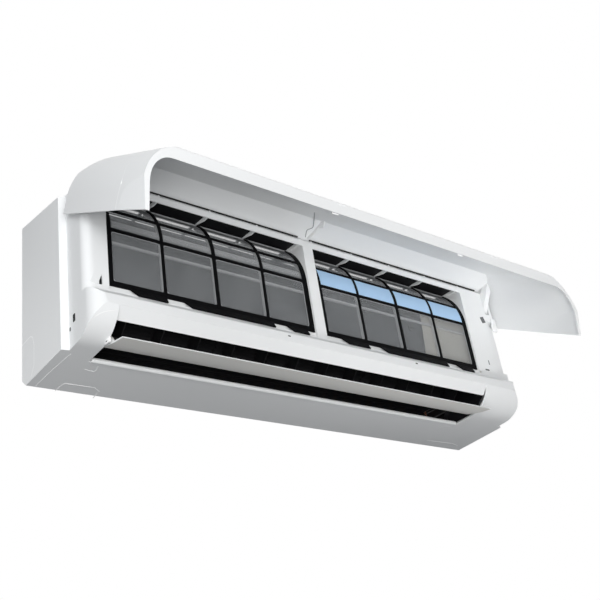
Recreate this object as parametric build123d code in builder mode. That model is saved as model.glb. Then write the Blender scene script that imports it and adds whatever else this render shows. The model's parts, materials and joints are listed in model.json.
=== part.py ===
"""Wall-hung indoor unit of a split air conditioner, with its front panel open.

Millimetres. X runs along the unit, to the right of someone who faces it, Y points
into the wall and Z up. The origin lies on the wall, at mid width and mid height.
Outlines in the Y-Z plane give heights from the underside of the casing.
"""

import math
import os

from build123d import *

# ---------------------------------------------------------------- driving dimensions
WIDTH = 1050.0  # over the casing's ends
HEIGHT = 320.0  # underside to the top at the wall
WALL = 2.5  # casing wall
TOP_FALL = 6.0  # from the top's back edge to its front edge
FIT = 0.3  # gap between pieces that lie side by side
RUNNING = 0.05  # radial clearance of a shaft in its hole

COLUMN_Y = -209.0  # front face of the casing's columns
BEZEL_Y = -232.0  # foremost line of the casing, under the filters
SIDE_STEP = 13.0  # how far the ends step in where the panel's cheeks lie
SIDE_STEP_FROM = -145.5
SIDE_STEP_TO = -148.0
CASING_CORNER = 28.0  # upright front corners of the casing
COLUMN_CORNER = 16.0  # upright corner of the left-hand column
SHELF = 90.0  # height of the ledge in front of the columns
END_DROP = 26.0  # how far the top falls away at the front corners
END_DROP_WIDTH = 55.0

CHEEK_LEFT = 58.0  # casing left of the air outlet
CHEEK_RIGHT = 125.0  # casing right of it
OUTLET_LIP = (-123.0, 6.0)  # lower edge of the outlet
OUTLET_BROW = (-215.0, 38.0)  # upper edge of the outlet
CREASE = (BEZEL_Y, 57.0)
DUCT_WALL = 2.5
SIDE_WALL = 3.0  # upright walls at the two ends of the fan
BROW = ((BEZEL_Y + 1, 74.0), (-222.5, 83.5))  # sloped face under the filters

FILTER_WIDTH = 430.0
FILTER_LEFT = 55.0  # left edge of the left filter, from the left end
FILTER_GAP = 26.0  # between the two filters
FILTER_Y = -205.0
FILTER_FOOT = 106.0
FILTER_KNEE = 218.0  # height where the filter starts to bend back
FILTER_BEND = 120.0
FILTER_SWEEP = 50.0  # degrees of bend
FILTER_THICK = 2.4
FILTER_BAR = 10.0
FILTER_CELLS = 4

PANEL_OPEN = 60.0  # degrees from shut
HINGE = (-198.0, HEIGHT - 50)
HINGE_PIN = 4.0  # radius
ARM_INSET = 21.0  # hinge arm, from the casing's end
ARM_WIDTH = 14.0
PANEL_Y = -283.0
PANEL_WALL = 3.0
PANEL_CORNER = (85.0, 94.0)  # half axes of the panel's upright corners
PANEL_LIP = 24.0

FAN_CENTRE = (-108.0, 122.0)
FAN_RADIUS = 54.0
FAN_LENGTH = WIDTH - 214
FAN_BLADES = 35
FAN_DISCS = 8
SHAFT_RADIUS = 4.0
MOTOR_RADIUS = 38.0
MOTOR_LENGTH = 56.0

SLAB_THICK = 24.0  # heat exchanger, front to back
TUBE_RADIUS = 3.5
TUBE_PITCH = 21.0
ROW_PITCH = 12.0

LOUVER_PIVOT = (-186.0, 20.0)
LOUVER_REAR = (-163.0, 15.5)
LOUVER_NOSE = (-229.0, 1.5)
LOUVER_THICK = 3.0
LOUVER_PIN = 3.0
LOUVER_BUSH = 5.0  # radius of the bush in the left-hand wall

VANES = 6  # in each group
VANE_PIN = 2.0
LINK_ARM = 12.0  # pin to link rod

MID = HEIGHT / 2
TOP_EDGE = HEIGHT - TOP_FALL
LEFT_END = -WIDTH / 2
OUTLET_FROM = LEFT_END + CHEEK_LEFT
OUTLET_TO = -LEFT_END - CHEEK_RIGHT
FILTER_STARTS = {
    "left": LEFT_END + FILTER_LEFT,
    "right": LEFT_END + FILTER_LEFT + FILTER_WIDTH + FILTER_GAP,
}

os.makedirs("parts", exist_ok=True)


# ---------------------------------------------------------------- helpers
def section(*points):
    """Points of a Y-Z outline, heights taken from the underside."""
    return [(y, z - MID) for y, z in points]


def save(piece, label):
    """Name a finished piece and write its file."""
    piece.label = label
    export_step(piece, f"parts/{label}.step")


def slab(points, start, end, mode=Mode.ADD):
    """A straight piece with this Y-Z outline, from one X to another."""
    with BuildSketch(Plane.YZ.offset(start)) as outline:
        with BuildLine():
            Polyline(*section(*points), close=True)
        make_face()
    extrude(outline.sketch, amount=end - start, mode=mode)


def block(x0, x1, y0, y1, z0, z1, mode=Mode.ADD):
    """A square-edged piece between two corners."""
    slab([(y0, z0), (y1, z0), (y1, z1), (y0, z1)], x0, x1, mode)


def rod(centre, radius, start, end, mode=Mode.ADD):
    """A round piece along X."""
    with BuildSketch(Plane.YZ.offset(start)) as disc:
        with Locations(section(centre)[0]):
            Circle(radius)
    extrude(disc.sketch, amount=end - start, mode=mode)


def beside(a, b, distance, offset):
    """A point along the line from a to b, and this far to its left."""
    length = math.dist(a, b)
    along = ((b[0] - a[0]) / length, (b[1] - a[1]) / length)
    return (
        a[0] + along[0] * distance - along[1] * offset,
        a[1] + along[1] * distance + along[0] * offset,
    )


def plate(a, b, thickness):
    """Outline of a straight wall from a to b, its thickness to the left."""
    length = math.dist(a, b)
    return [a, b, beside(a, b, length, thickness), beside(a, b, 0, thickness)]


def filter_point(travel, depth=0.0):
    """A point on the filter's face, by the way up it, and this deep behind it."""
    straight = FILTER_KNEE - FILTER_FOOT
    if travel <= straight:
        return (FILTER_Y + depth, FILTER_FOOT + travel)
    angle = (travel - straight) / FILTER_BEND
    radius = FILTER_BEND - depth
    centre = FILTER_Y + FILTER_BEND
    return (centre - radius * math.cos(angle), FILTER_KNEE + radius * math.sin(angle))


def curved_strip(depth, thickness, start, end, low, high, mode=Mode.ADD):
    """A strip that follows the filter's curve, between two ways up it."""
    knee = min(max(FILTER_KNEE - FILTER_FOOT, low), high)
    ways = (low, knee, (knee + high) / 2, high)
    with BuildSketch(Plane.YZ.offset(start)) as outline:
        with BuildLine():
            front = section(*[filter_point(way, depth) for way in ways])
            back = section(*[filter_point(way, depth + thickness) for way in ways])
            for face in (front, back):
                if low < knee:
                    Line(face[0], face[1])
                if knee < high:
                    ThreePointArc(*face[1:])
            Line(front[0], back[0])
            Line(front[3], back[3])
        make_face()
    extrude(outline.sketch, amount=end - start, mode=mode)


# ---------------------------------------------------------------- casing
def casing_shape(inset):
    """The casing's outer form, drawn in by the inset all round and open behind."""
    behind = 20.0 if inset else 0.0
    belly_from = (-165.0, 8.5)
    belly = 70.5
    turn = math.radians(40)
    belly_middle = (
        belly_from[0] - belly * math.sin(turn),
        belly_from[1] + belly * (1 - math.cos(turn)),
    )
    with BuildPart() as shape:
        with BuildSketch(Plane.YZ.offset(LEFT_END + inset)) as outline:
            with BuildLine():
                Polyline(*section((0, HEIGHT), (0, 16), (-15, 2.5), belly_from))
                ThreePointArc(*section(belly_from, belly_middle, CREASE))
                Polyline(
                    *section(
                        CREASE,
                        *BROW,
                        (COLUMN_Y, SHELF),
                        (COLUMN_Y, TOP_EDGE - 5),
                        (COLUMN_Y + 5, TOP_EDGE),
                        (0, HEIGHT),
                    )
                )
            make_face()
            if inset:
                offset(amount=-inset, kind=Kind.INTERSECTION)
        extrude(outline.sketch, amount=WIDTH - 2 * inset)
        if inset:
            block(LEFT_END + inset, -LEFT_END - inset, -15, behind, 16, HEIGHT - 3)
        half = -LEFT_END - inset
        step = half - SIDE_STEP
        front = BEZEL_Y + inset
        corner = CASING_CORNER - inset
        with BuildSketch(Plane.XY.offset(-HEIGHT)) as plan:
            with BuildLine() as edge:
                Polyline(
                    (0, behind),
                    (half, behind),
                    (half, SIDE_STEP_FROM),
                    (step, SIDE_STEP_TO),
                    (step, front + corner),
                )
                RadiusArc((step, front + corner), (step - corner, front), corner)
                Line((step - corner, front), (0, front))
                mirror(about=Plane.YZ)
            make_face()
        extrude(plan.sketch, amount=2 * HEIGHT, mode=Mode.INTERSECT)
        arc_centre = (LEFT_END + SIDE_STEP + COLUMN_CORNER, COLUMN_Y + COLUMN_CORNER)
        reach = COLUMN_CORNER + 3
        with BuildSketch(Plane.XY.offset(SHELF - MID - inset)) as rounding:
            with Locations((arc_centre[0] - reach / 2, arc_centre[1] - reach / 2)):
                Rectangle(reach, reach)
            with Locations(arc_centre):
                Circle(COLUMN_CORNER - inset, mode=Mode.SUBTRACT)
        extrude(rounding.sketch, amount=HEIGHT, mode=Mode.SUBTRACT)
        for side in (-1, 1):
            end = side * -LEFT_END
            drop = inset * 1.2
            low_back = (end, 0, MID - drop)
            low_front = (end, COLUMN_Y, TOP_EDGE - MID - END_DROP - drop)
            high_front = (end - side * END_DROP_WIDTH, COLUMN_Y, TOP_EDGE - MID - drop)
            normal = (Vector(*low_front) - Vector(*low_back)).cross(
                Vector(*high_front) - Vector(*low_back)
            )
            if normal.Z < 0:
                normal = normal * -1
            slope = Plane(origin=low_back, z_dir=normal)
            with BuildSketch(slope) as cutter:
                Rectangle(3 * HEIGHT, 3 * HEIGHT)
            extrude(cutter.sketch, amount=60, mode=Mode.SUBTRACT)
    return shape.part


outer_form = casing_shape(0)
inner_form = casing_shape(WALL)
FILTER_PLAY = 0.6  # beside each filter
LIP_RADIUS = 4.5  # rolled lower edge of the outlet
RECESS_FROM = -LEFT_END - 43  # upright channel in the right-hand column
RECESS_Z = (108.0, 238.0)
RECESS_BACK = COLUMN_Y + 9
POCKET_FOOT = HINGE[1] - 14
WINDOW_FOOT = 96.0
BAR_FOOT = HEIGHT - 23
GRID_DEPTH = FILTER_THICK + 2.0
GRID_THICK = 6.0
GRID_RIBS = ((2.0, 4.0), (86.0, 4.0), (122.0, 12.0), (176.0, 4.0))  # way up the filter, width
TOP_SLOTS = 9
TOP_SLOT_PITCH = 15.0
TOP_SLOTS_Y = -83.0
CELL_PITCH = FILTER_WIDTH / FILTER_CELLS
POCKET_BACK = -186.0
PAN_FRONT = -193.5
LEDGE_BACK = PAN_FRONT - FIT
CATCH_HOLES = [
    (LEFT_END + 36.5, LEFT_END + 42.5, 101, 118),
    (-LEFT_END - 108, -LEFT_END - 100, 98, 102),
]
RECEIVER_X = -LEFT_END - 84
RECEIVER_Z = 150.0
RECEIVER_SIZE = (30.0, 44.0)
POST = 4.0
COVER_SCREWS_Z = (122.0, 226.0)
SCREW_RADIUS = 2.0
SCREW_HEAD = 3.6
SCREW_XS = (LEFT_END + 80, LEFT_END + 402, LEFT_END + 726)
CAP_SIZE = (16.0, 7.0)
CAP_DEPTH = 1.2
filter_way = FILTER_KNEE - FILTER_FOOT + math.radians(FILTER_SWEEP) * FILTER_BEND


def screw_plane(x, rise):
    """The plane of the sloped face under the filters, or one parallel to it."""
    (foot_y, foot_z), (head_y, head_z) = section(*BROW)
    middle = Vector(x, (foot_y + head_y) / 2, (foot_z + head_z) / 2)
    normal = Vector(0, foot_z - head_z, head_y - foot_y).normalized()
    return Plane(origin=middle + normal * rise, x_dir=(1, 0, 0), z_dir=normal)


# The grid behind the filters is made first, then joined to the casing in one step.
with BuildPart() as filter_grid:
    for start in FILTER_STARTS.values():
        first, last = start - FILTER_PLAY, start + FILTER_WIDTH + FILTER_PLAY
        for inner, outer in ((first, first - WALL), (last, last + WALL)):
            slab(
                [
                    (COLUMN_Y + 1, WINDOW_FOOT - WALL),
                    (COLUMN_Y + 1, TOP_EDGE - 2),
                    (-150, TOP_EDGE),
                    (-186, 250),
                    (LEDGE_BACK, 240),
                    (LEDGE_BACK, WINDOW_FOOT - WALL),
                ],
                min(inner, outer),
                max(inner, outer),
            )
        block(first, last, COLUMN_Y + WALL, LEDGE_BACK, WINDOW_FOOT - WALL, WINDOW_FOOT)
        # Low wall behind the filter's foot.
        wall_y = FILTER_Y + FILTER_THICK + FIT
        block(first, last, wall_y, wall_y + 2, WINDOW_FOOT - WALL, FILTER_FOOT + 0.8)
        for cell in range(FILTER_CELLS + 1):
            middle = min(max(start + cell * CELL_PITCH, first + 1.5), last - 1.5)
            curved_strip(GRID_DEPTH, GRID_THICK, middle - 1.5, middle + 1.5, -8, filter_way + 4)
            slab(
                [
                    (COLUMN_Y + 1, TOP_EDGE - 10),
                    (-186, TOP_EDGE - 10),
                    (-160, TOP_EDGE - 2.5),
                    (-160, TOP_EDGE),
                    (COLUMN_Y + 1, TOP_EDGE),
                ],
                middle - 1.5,
                middle + 1.5,
            )
        for way, width in GRID_RIBS:
            curved_strip(GRID_DEPTH + 1, GRID_THICK - 2, first, last, way, way + width)

with BuildPart() as body_cover:
    add(outer_form)
    add(inner_form, mode=Mode.SUBTRACT)
    # Air outlet: everything in front of the line from its lip to its brow is open.
    lip_y, lip_z = OUTLET_LIP
    below = BEZEL_Y - 20
    lip_middle = (lip_y - LIP_RADIUS / 2, lip_z + LIP_RADIUS - 0.8)
    slab(
        [(lip_y, -10), (lip_y, lip_z + 6), OUTLET_BROW, CREASE, (below, 57), (below, -10)],
        OUTLET_FROM,
        OUTLET_TO,
        Mode.SUBTRACT,
    )
    slab(plate(OUTLET_BROW, CREASE, -WALL), OUTLET_FROM, OUTLET_TO)
    lip_inset = DUCT_WALL + FIT
    rod(lip_middle, LIP_RADIUS, OUTLET_FROM + lip_inset, OUTLET_TO - lip_inset)
    with BuildSketch(Plane.XY.offset(MID - 20)) as slots:
        for start in FILTER_STARTS.values():
            with Locations((start + FILTER_WIDTH / 2, TOP_SLOTS_Y)):
                with GridLocations(CELL_PITCH, TOP_SLOT_PITCH, FILTER_CELLS, TOP_SLOTS):
                    Rectangle(CELL_PITCH - 6, TOP_SLOT_PITCH - 3.5)
    extrude(slots.sketch, amount=40, mode=Mode.SUBTRACT)
    for start in FILTER_STARTS.values():
        first, last = start - FILTER_PLAY, start + FILTER_WIDTH + FILTER_PLAY
        block(first, last, COLUMN_Y - 1, COLUMN_Y + WALL + 1, WINDOW_FOOT, BAR_FOOT, Mode.SUBTRACT)
    # Hinge pockets in the end columns, each with two ears for the arm's pins.
    for side in (-1, 1):
        inner = side * (-LEFT_END - ARM_INSET - ARM_WIDTH - FIT)
        outer = side * (-LEFT_END - ARM_INSET + FIT)
        low, high = min(inner, outer), max(inner, outer)
        ear_y, ear_top = COLUMN_Y + 5, HINGE[1] + 16
        block(low, high, COLUMN_Y - 1, POCKET_BACK, POCKET_FOOT, HEIGHT + 10, Mode.SUBTRACT)
        for ear in (low - WALL, high):
            block(ear, ear + WALL, ear_y, POCKET_BACK + 2, POCKET_FOOT - 2, ear_top)
            rod(HINGE, HINGE_PIN + RUNNING, ear, ear + WALL, Mode.SUBTRACT)
        block(low - WALL, high + WALL, POCKET_BACK, POCKET_BACK + 2, POCKET_FOOT - 2, ear_top)
        block(low - WALL, high + WALL, ear_y, POCKET_BACK + 2, POCKET_FOOT - 4, POCKET_FOOT - 2)
        block(low + 1, high - 1, COLUMN_Y + 1, ear_y + 1, POCKET_FOOT - 4, POCKET_FOOT - 2)
    # Channel in the right-hand column, where the panel's edge comes to lie.
    channel_end = -LEFT_END - SIDE_STEP
    block(
        RECESS_FROM - WALL,
        channel_end - 0.5,
        COLUMN_Y + 1,
        RECESS_BACK + WALL,
        RECESS_Z[0] - WALL,
        RECESS_Z[1] + WALL,
    )
    block(RECESS_FROM, channel_end + 5, COLUMN_Y - 1, RECESS_BACK, *RECESS_Z, Mode.SUBTRACT)
    add(filter_grid.part)
    # Catch holes beside the filters.
    for x0, x1, z0, z1 in CATCH_HOLES:
        block(x0, x1, COLUMN_Y - 1, COLUMN_Y + WALL + 1, z0, z1, Mode.SUBTRACT)
    # Posts for the receiver board, behind the right-hand column.
    for x in (RECEIVER_X, RECEIVER_X + RECEIVER_SIZE[0] - POST):
        for z in (RECEIVER_Z, RECEIVER_Z + RECEIVER_SIZE[1] - POST):
            block(x, x + POST, COLUMN_Y + 1, COLUMN_Y + WALL + 3, z, z + POST)
    # Holes of the screws under the filters.
    for x in SCREW_XS:
        with BuildSketch(screw_plane(x, -8)) as hole:
            Circle(SCREW_RADIUS + RUNNING)
        extrude(hole.sketch, amount=12, mode=Mode.SUBTRACT)
        with BuildSketch(screw_plane(x, -CAP_DEPTH)) as seat:
            Rectangle(CAP_SIZE[0] + 2 * FIT, CAP_SIZE[1] + 2 * FIT)
        extrude(seat.sketch, amount=CAP_DEPTH + 3, mode=Mode.SUBTRACT)
save(body_cover.part, "body_cover")


# ---------------------------------------------------------------- wall plate and chassis
PLATE_THICK = 1.2
PLATE_SIZE = (780.0, HEIGHT - 84)
PLATE_HOLES = (600.0, 150.0)  # between the four wall screws
PLATE_HOLE_RADIUS = 2.6
HOOK_SPACING = 560.0
HOOK_WIDTH = 30.0
HOOK_TOP = HEIGHT - 28
BACK_Y = -8.0  # back face of the chassis
CHASSIS_WALL = 2.5
PIPE_BAY_TOP = 66.0
CHASSIS_TOP = HEIGHT - 8

with BuildPart() as mounting_plate:
    with BuildSketch(Plane.XZ) as sheet:
        RectangleRounded(PLATE_SIZE[0], PLATE_SIZE[1], 10)
        with GridLocations(PLATE_HOLES[0], PLATE_HOLES[1], 2, 2):
            Circle(PLATE_HOLE_RADIUS, mode=Mode.SUBTRACT)
        with GridLocations(200, 0, 2, 1):
            RectangleRounded(150, 150, 8, mode=Mode.SUBTRACT)
    extrude(sheet.sketch, amount=PLATE_THICK)
    # Folded stiffening edges, and the hooks that the chassis hangs on.
    half_plate = PLATE_SIZE[0] / 2 - 14
    for z in (MID - PLATE_SIZE[1] / 2, MID + PLATE_SIZE[1] / 2 - PLATE_THICK):
        block(-half_plate, half_plate, -6.5, -PLATE_THICK, z, z + PLATE_THICK)
    for x in (-HOOK_SPACING / 2, HOOK_SPACING / 2):
        low, high = x - HOOK_WIDTH / 2, x + HOOK_WIDTH / 2
        block(low, high, -PLATE_THICK, 0, MID + PLATE_SIZE[1] / 2 - 2, HOOK_TOP)
        block(low, high, -16, 0, HOOK_TOP - PLATE_THICK, HOOK_TOP)
        block(low, high, -16, -16 + PLATE_THICK, HOOK_TOP, HOOK_TOP + 8)
save(mounting_plate.part, "mounting_plate")


def scroll_radius(angle):
    """Radius of the fan's scroll, which widens from its tongue to the outlet."""
    return FAN_RADIUS + SCROLL_GAP * math.exp(SCROLL_GROWTH * (SCROLL_FROM - angle))


def scroll_point(angle, offset_by=0.0):
    """A point on the scroll, or on a curve beside it."""
    radius = scroll_radius(angle) + offset_by
    turn = math.radians(angle)
    return (FAN_CENTRE[0] + radius * math.cos(turn), FAN_CENTRE[1] + radius * math.sin(turn))


SCROLL_FROM = 50.0
SCROLL_TO = -86.0
SCROLL_GAP = 6.0
SCROLL_GROWTH = 0.015
FAN_GAP = 3.0  # between the fan and the walls at its ends
LEFT_WALL = OUTLET_FROM + DUCT_WALL + FIT
FAN_FROM = LEFT_WALL + SIDE_WALL + FAN_GAP
FAN_TO = FAN_FROM + FAN_LENGTH
RIGHT_WALL = FAN_TO + FAN_GAP
BUSH_RADIUS = 15.0
BEARING_RADIUS = 9.0
MOTOR_FROM = RIGHT_WALL + SIDE_WALL + 14
CRADLE_Y = -152.0

with BuildPart() as rear_chassis:
    edge = LEFT_END + WALL + FIT
    block(edge, -edge, BACK_Y - CHASSIS_WALL, BACK_Y, PIPE_BAY_TOP, CHASSIS_TOP)
    # Rims at the top and the two ends.
    block(edge, -edge, BACK_Y - 14, BACK_Y, CHASSIS_TOP, CHASSIS_TOP + 2)
    for x in (edge, -edge - 2):
        block(x, x + 2, BACK_Y - 14, BACK_Y, PIPE_BAY_TOP, CHASSIS_TOP)
    # Pipe bay roof, running forward to the scroll.
    block(LEFT_WALL, RIGHT_WALL + SIDE_WALL, -58, BACK_Y, PIPE_BAY_TOP, PIPE_BAY_TOP + 2)
    # The scroll behind the fan.
    angles = [SCROLL_FROM + (SCROLL_TO - SCROLL_FROM) * step / 6 for step in range(7)]
    with BuildSketch(Plane.YZ.offset(LEFT_WALL)) as guide:
        with BuildLine():
            inner = section(*[scroll_point(angle) for angle in angles])
            outer = section(*[scroll_point(angle, CHASSIS_WALL) for angle in angles])
            Spline(*inner)
            Spline(*outer)
            Line(inner[0], outer[0])
            Line(inner[-1], outer[-1])
        make_face()
    extrude(guide.sketch, amount=RIGHT_WALL + SIDE_WALL - LEFT_WALL)
    # Trough under the rear heat exchanger, from the scroll's top to the back wall.
    tongue = scroll_point(SCROLL_FROM, CHASSIS_WALL)
    slab(
        [
            tongue,
            (tongue[0] + 4, tongue[1] + 3),
            (-40, tongue[1] + 3),
            (BACK_Y, tongue[1] + 3),
            (BACK_Y, tongue[1]),
            (-40, tongue[1]),
            (tongue[0] + 4, tongue[1] - 6),
        ],
        LEFT_WALL,
        RIGHT_WALL + SIDE_WALL,
    )
    for x in (LEFT_WALL, RIGHT_WALL):
        slab(
            [(BACK_Y, PIPE_BAY_TOP), (BACK_Y, 205), (-150, 205), (-158, 108), (-158, 60), (-60, 60)],
            x,
            x + SIDE_WALL,
        )
    rod(FAN_CENTRE, BUSH_RADIUS, LEFT_WALL - 1, LEFT_WALL + SIDE_WALL + 1, Mode.SUBTRACT)
    rod(FAN_CENTRE, 12, RIGHT_WALL - 1, RIGHT_WALL + SIDE_WALL + 1, Mode.SUBTRACT)
    # Motor cradle.
    for x in (MOTOR_FROM + 8, MOTOR_FROM + MOTOR_LENGTH - 12):
        block(x, x + 4, CRADLE_Y, BACK_Y - 1, PIPE_BAY_TOP, FAN_CENTRE[1])
    hollow_to = MOTOR_FROM + MOTOR_LENGTH + 20
    rod(FAN_CENTRE, MOTOR_RADIUS + FIT, RIGHT_WALL + SIDE_WALL, hollow_to, Mode.SUBTRACT)
    # Slots for the wall plate's hooks.
    for x in (-HOOK_SPACING / 2, HOOK_SPACING / 2):
        half = HOOK_WIDTH / 2 + 2
        block(x - half, x + half, BACK_Y - 5, BACK_Y + 1, HOOK_TOP - 4, HOOK_TOP + FIT, Mode.SUBTRACT)
save(rear_chassis.part, "rear_chassis")


# ---------------------------------------------------------------- heat exchanger
SLABS = {  # centre line of each slab, foot to head
    "evaporator_lower": ((-175.0, 108.5), (-175.0, 212.0)),
    "evaporator_upper": ((-169.0, 219.0), (-126.0, 292.0)),
    "evaporator_rear": ((-40.0, 218.0), (-107.0, 290.0)),
}
END_PLATE = 1.0
SLAB_FROM = LEFT_WALL + SIDE_WALL + FIT + END_PLATE
SLAB_TO = RIGHT_WALL - FIT - END_PLATE
TUBE_PROUD = 8.0  # straight tube past the end plates


def tube_pairs(foot, head):
    """Centres of the tubes of a slab, as pairs from its two rows."""
    length = math.dist(foot, head)
    count = int(length // TUBE_PITCH)
    first = (length - (count - 1) * TUBE_PITCH) / 2
    pairs = []
    for index in range(count):
        along = first + index * TUBE_PITCH
        stagger = TUBE_PITCH / 8
        pairs.append(
            (
                beside(foot, head, along - stagger, ROW_PITCH / 2),
                beside(foot, head, along + stagger, -ROW_PITCH / 2),
            )
        )
    return pairs


PAIRS = {name: tube_pairs(*line) for name, line in SLABS.items()}
ALL_TUBES = [centre for pairs in PAIRS.values() for pair in pairs for centre in pair]

for name, (foot, head) in SLABS.items():
    with BuildPart() as fins:
        low = beside(foot, head, 0, -SLAB_THICK / 2)
        high = beside(foot, head, math.dist(foot, head), -SLAB_THICK / 2)
        slab(plate(low, high, SLAB_THICK), SLAB_FROM, SLAB_TO)
        with BuildSketch(Plane.YZ.offset(SLAB_FROM)) as holes:
            with Locations(*section(*[centre for pair in PAIRS[name] for centre in pair])):
                Circle(TUBE_RADIUS + RUNNING)
        extrude(holes.sketch, amount=SLAB_TO - SLAB_FROM, mode=Mode.SUBTRACT)
    save(fins.part, name)

with BuildPart() as evaporator_end_plates:
    outline = [
        (-189, 107),
        (-189, 214),
        (-142, 301),
        (-98, 303),
        (-28, 227),
        (-28, 197),
        (-160, 197),
        (-160, 107),
    ]
    for x in (SLAB_FROM - END_PLATE, SLAB_TO):
        slab(outline, x, x + END_PLATE)
        with BuildSketch(Plane.YZ.offset(x)) as holes:
            with Locations(*section(*ALL_TUBES)):
                Circle(TUBE_RADIUS + RUNNING)
        extrude(holes.sketch, amount=END_PLATE, mode=Mode.SUBTRACT)
save(evaporator_end_plates.part, "evaporator_end_plates")


def tube_bend(a, b, x, side):
    """Half a turn of tube between two tube ends, bulging to one side."""
    (ay, az), (by, bz) = section(a, b)
    middle = ((ay + by) / 2, (az + bz) / 2)
    span = Vector(0, by - ay, bz - az).normalized()
    hinge = Axis((x, *middle), span.cross(Vector(1, 0, 0)) * side)
    with BuildPart() as bend:
        with BuildSketch(Plane.YZ.offset(x)) as mouth:
            with Locations((ay, az)):
                Circle(TUBE_RADIUS)
        revolve(mouth.sketch, axis=hinge, revolution_arc=180)
    return bend.part


with BuildPart() as evaporator_tubes:
    for pairs in PAIRS.values():
        for front, back in pairs:
            for centre in (front, back):
                rod(centre, TUBE_RADIUS, SLAB_FROM - TUBE_PROUD, SLAB_TO + TUBE_PROUD)
            add(tube_bend(front, back, SLAB_FROM - TUBE_PROUD, 1))
save(evaporator_tubes.part, "evaporator_tubes")

with BuildPart() as return_bends:
    for pairs in PAIRS.values():
        for (_, back), (front, _) in zip(pairs, pairs[1:]):
            add(tube_bend(back, front, SLAB_TO + TUBE_PROUD, -1))
save(return_bends.part, "return_bends")


# ---------------------------------------------------------------- fan and its drive
BLADE_DEPTH = 10.5
BLADE_THICK = 1.3
DISC_THICK = 2.6
HUB_RADIUS = 9.0
HUB_LENGTH = 12.0


def polar(radius, angle):
    """A point by radius and angle in degrees, about the fan's axis."""
    turn = math.radians(angle)
    return (radius * math.cos(turn), radius * math.sin(turn))


fan_plane = Plane(
    origin=(FAN_FROM, *section(FAN_CENTRE)[0]), x_dir=(0, 1, 0), z_dir=(1, 0, 0)
)
with BuildSketch() as blade:
    with BuildLine():
        inner_radius = FAN_RADIUS - BLADE_DEPTH
        middle_radius = FAN_RADIUS - BLADE_DEPTH / 2
        step = math.degrees(BLADE_THICK / FAN_RADIUS)
        lean = 11.0
        ThreePointArc(polar(inner_radius, 0), polar(middle_radius, 3.2), polar(FAN_RADIUS, lean))
        Line(polar(FAN_RADIUS, lean), polar(FAN_RADIUS, lean + step))
        ThreePointArc(
            polar(FAN_RADIUS, lean + step),
            polar(middle_radius, 3.2 + step),
            polar(inner_radius, step * 1.2),
        )
        Line(polar(inner_radius, step * 1.2), polar(inner_radius, 0))
    make_face()

with BuildPart() as crossflow_fan:
    with BuildSketch(fan_plane) as blades:
        with PolarLocations(0, FAN_BLADES):
            add(blade.sketch)
    extrude(blades.sketch, amount=FAN_LENGTH)
    for index in range(FAN_DISCS):
        x = FAN_FROM + index * (FAN_LENGTH - DISC_THICK) / (FAN_DISCS - 1)
        rod(FAN_CENTRE, FAN_RADIUS, x, x + DISC_THICK)
        if 0 < index < FAN_DISCS - 1:
            rod(FAN_CENTRE, FAN_RADIUS - BLADE_DEPTH - 4, x, x + DISC_THICK, Mode.SUBTRACT)
    for x in (FAN_FROM + DISC_THICK, FAN_TO - DISC_THICK - HUB_LENGTH):
        rod(FAN_CENTRE, HUB_RADIUS, x, x + HUB_LENGTH)
    for x in (FAN_FROM, FAN_TO - DISC_THICK - HUB_LENGTH):
        rod(FAN_CENTRE, SHAFT_RADIUS, x, x + DISC_THICK + HUB_LENGTH, Mode.SUBTRACT)
save(crossflow_fan.part, "crossflow_fan")

with BuildPart() as fan_end_shaft:
    rod(FAN_CENTRE, SHAFT_RADIUS, LEFT_WALL - 4, FAN_FROM + DISC_THICK + HUB_LENGTH)
save(fan_end_shaft.part, "fan_end_shaft")

with BuildPart() as motor_shaft:
    rod(FAN_CENTRE, SHAFT_RADIUS, FAN_TO - DISC_THICK - HUB_LENGTH, MOTOR_FROM + 30)
save(motor_shaft.part, "motor_shaft")

with BuildPart() as fan_bearing:
    rod(FAN_CENTRE, BEARING_RADIUS, LEFT_WALL - 3, LEFT_WALL + 4)
    rod(FAN_CENTRE, SHAFT_RADIUS + RUNNING, LEFT_WALL - 3, LEFT_WALL + 4, Mode.SUBTRACT)
save(fan_bearing.part, "fan_bearing")

with BuildPart() as bearing_bush:
    rod(FAN_CENTRE, BUSH_RADIUS - RUNNING, LEFT_WALL - 3, LEFT_WALL + 4)
    rod(FAN_CENTRE, BUSH_RADIUS + 3, LEFT_WALL - 3, LEFT_WALL - FIT)
    rod(FAN_CENTRE, BEARING_RADIUS + RUNNING, LEFT_WALL - 3, LEFT_WALL + 4, Mode.SUBTRACT)
save(bearing_bush.part, "bearing_bush")

with BuildPart() as fan_motor:
    rod(FAN_CENTRE, MOTOR_RADIUS, MOTOR_FROM, MOTOR_FROM + MOTOR_LENGTH)
    fillet(fan_motor.edges().filter_by(GeomType.CIRCLE), 5)
    rod(FAN_CENTRE, 13, MOTOR_FROM - 6, MOTOR_FROM)
    rod(FAN_CENTRE, 13, MOTOR_FROM + MOTOR_LENGTH, MOTOR_FROM + MOTOR_LENGTH + 6)
    rod(FAN_CENTRE, SHAFT_RADIUS + RUNNING, MOTOR_FROM - 6, MOTOR_FROM + 30.5, Mode.SUBTRACT)
save(fan_motor.part, "fan_motor")

with BuildPart() as motor_clamp:
    strap_from = MOTOR_FROM + 14
    strap_to = strap_from + 28
    fan_y, fan_z = FAN_CENTRE
    rod(FAN_CENTRE, MOTOR_RADIUS + FIT + 2, strap_from, strap_to)
    block(strap_from, strap_to, fan_y - 44.0, fan_y + 95, fan_z + FIT, fan_z + 2.5)
    rod(FAN_CENTRE, MOTOR_RADIUS + FIT, strap_from, strap_to, Mode.SUBTRACT)
    block(strap_from, strap_to, fan_y - 60, fan_y + 120, fan_z - 60, fan_z + FIT, Mode.SUBTRACT)
save(motor_clamp.part, "motor_clamp")


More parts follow.
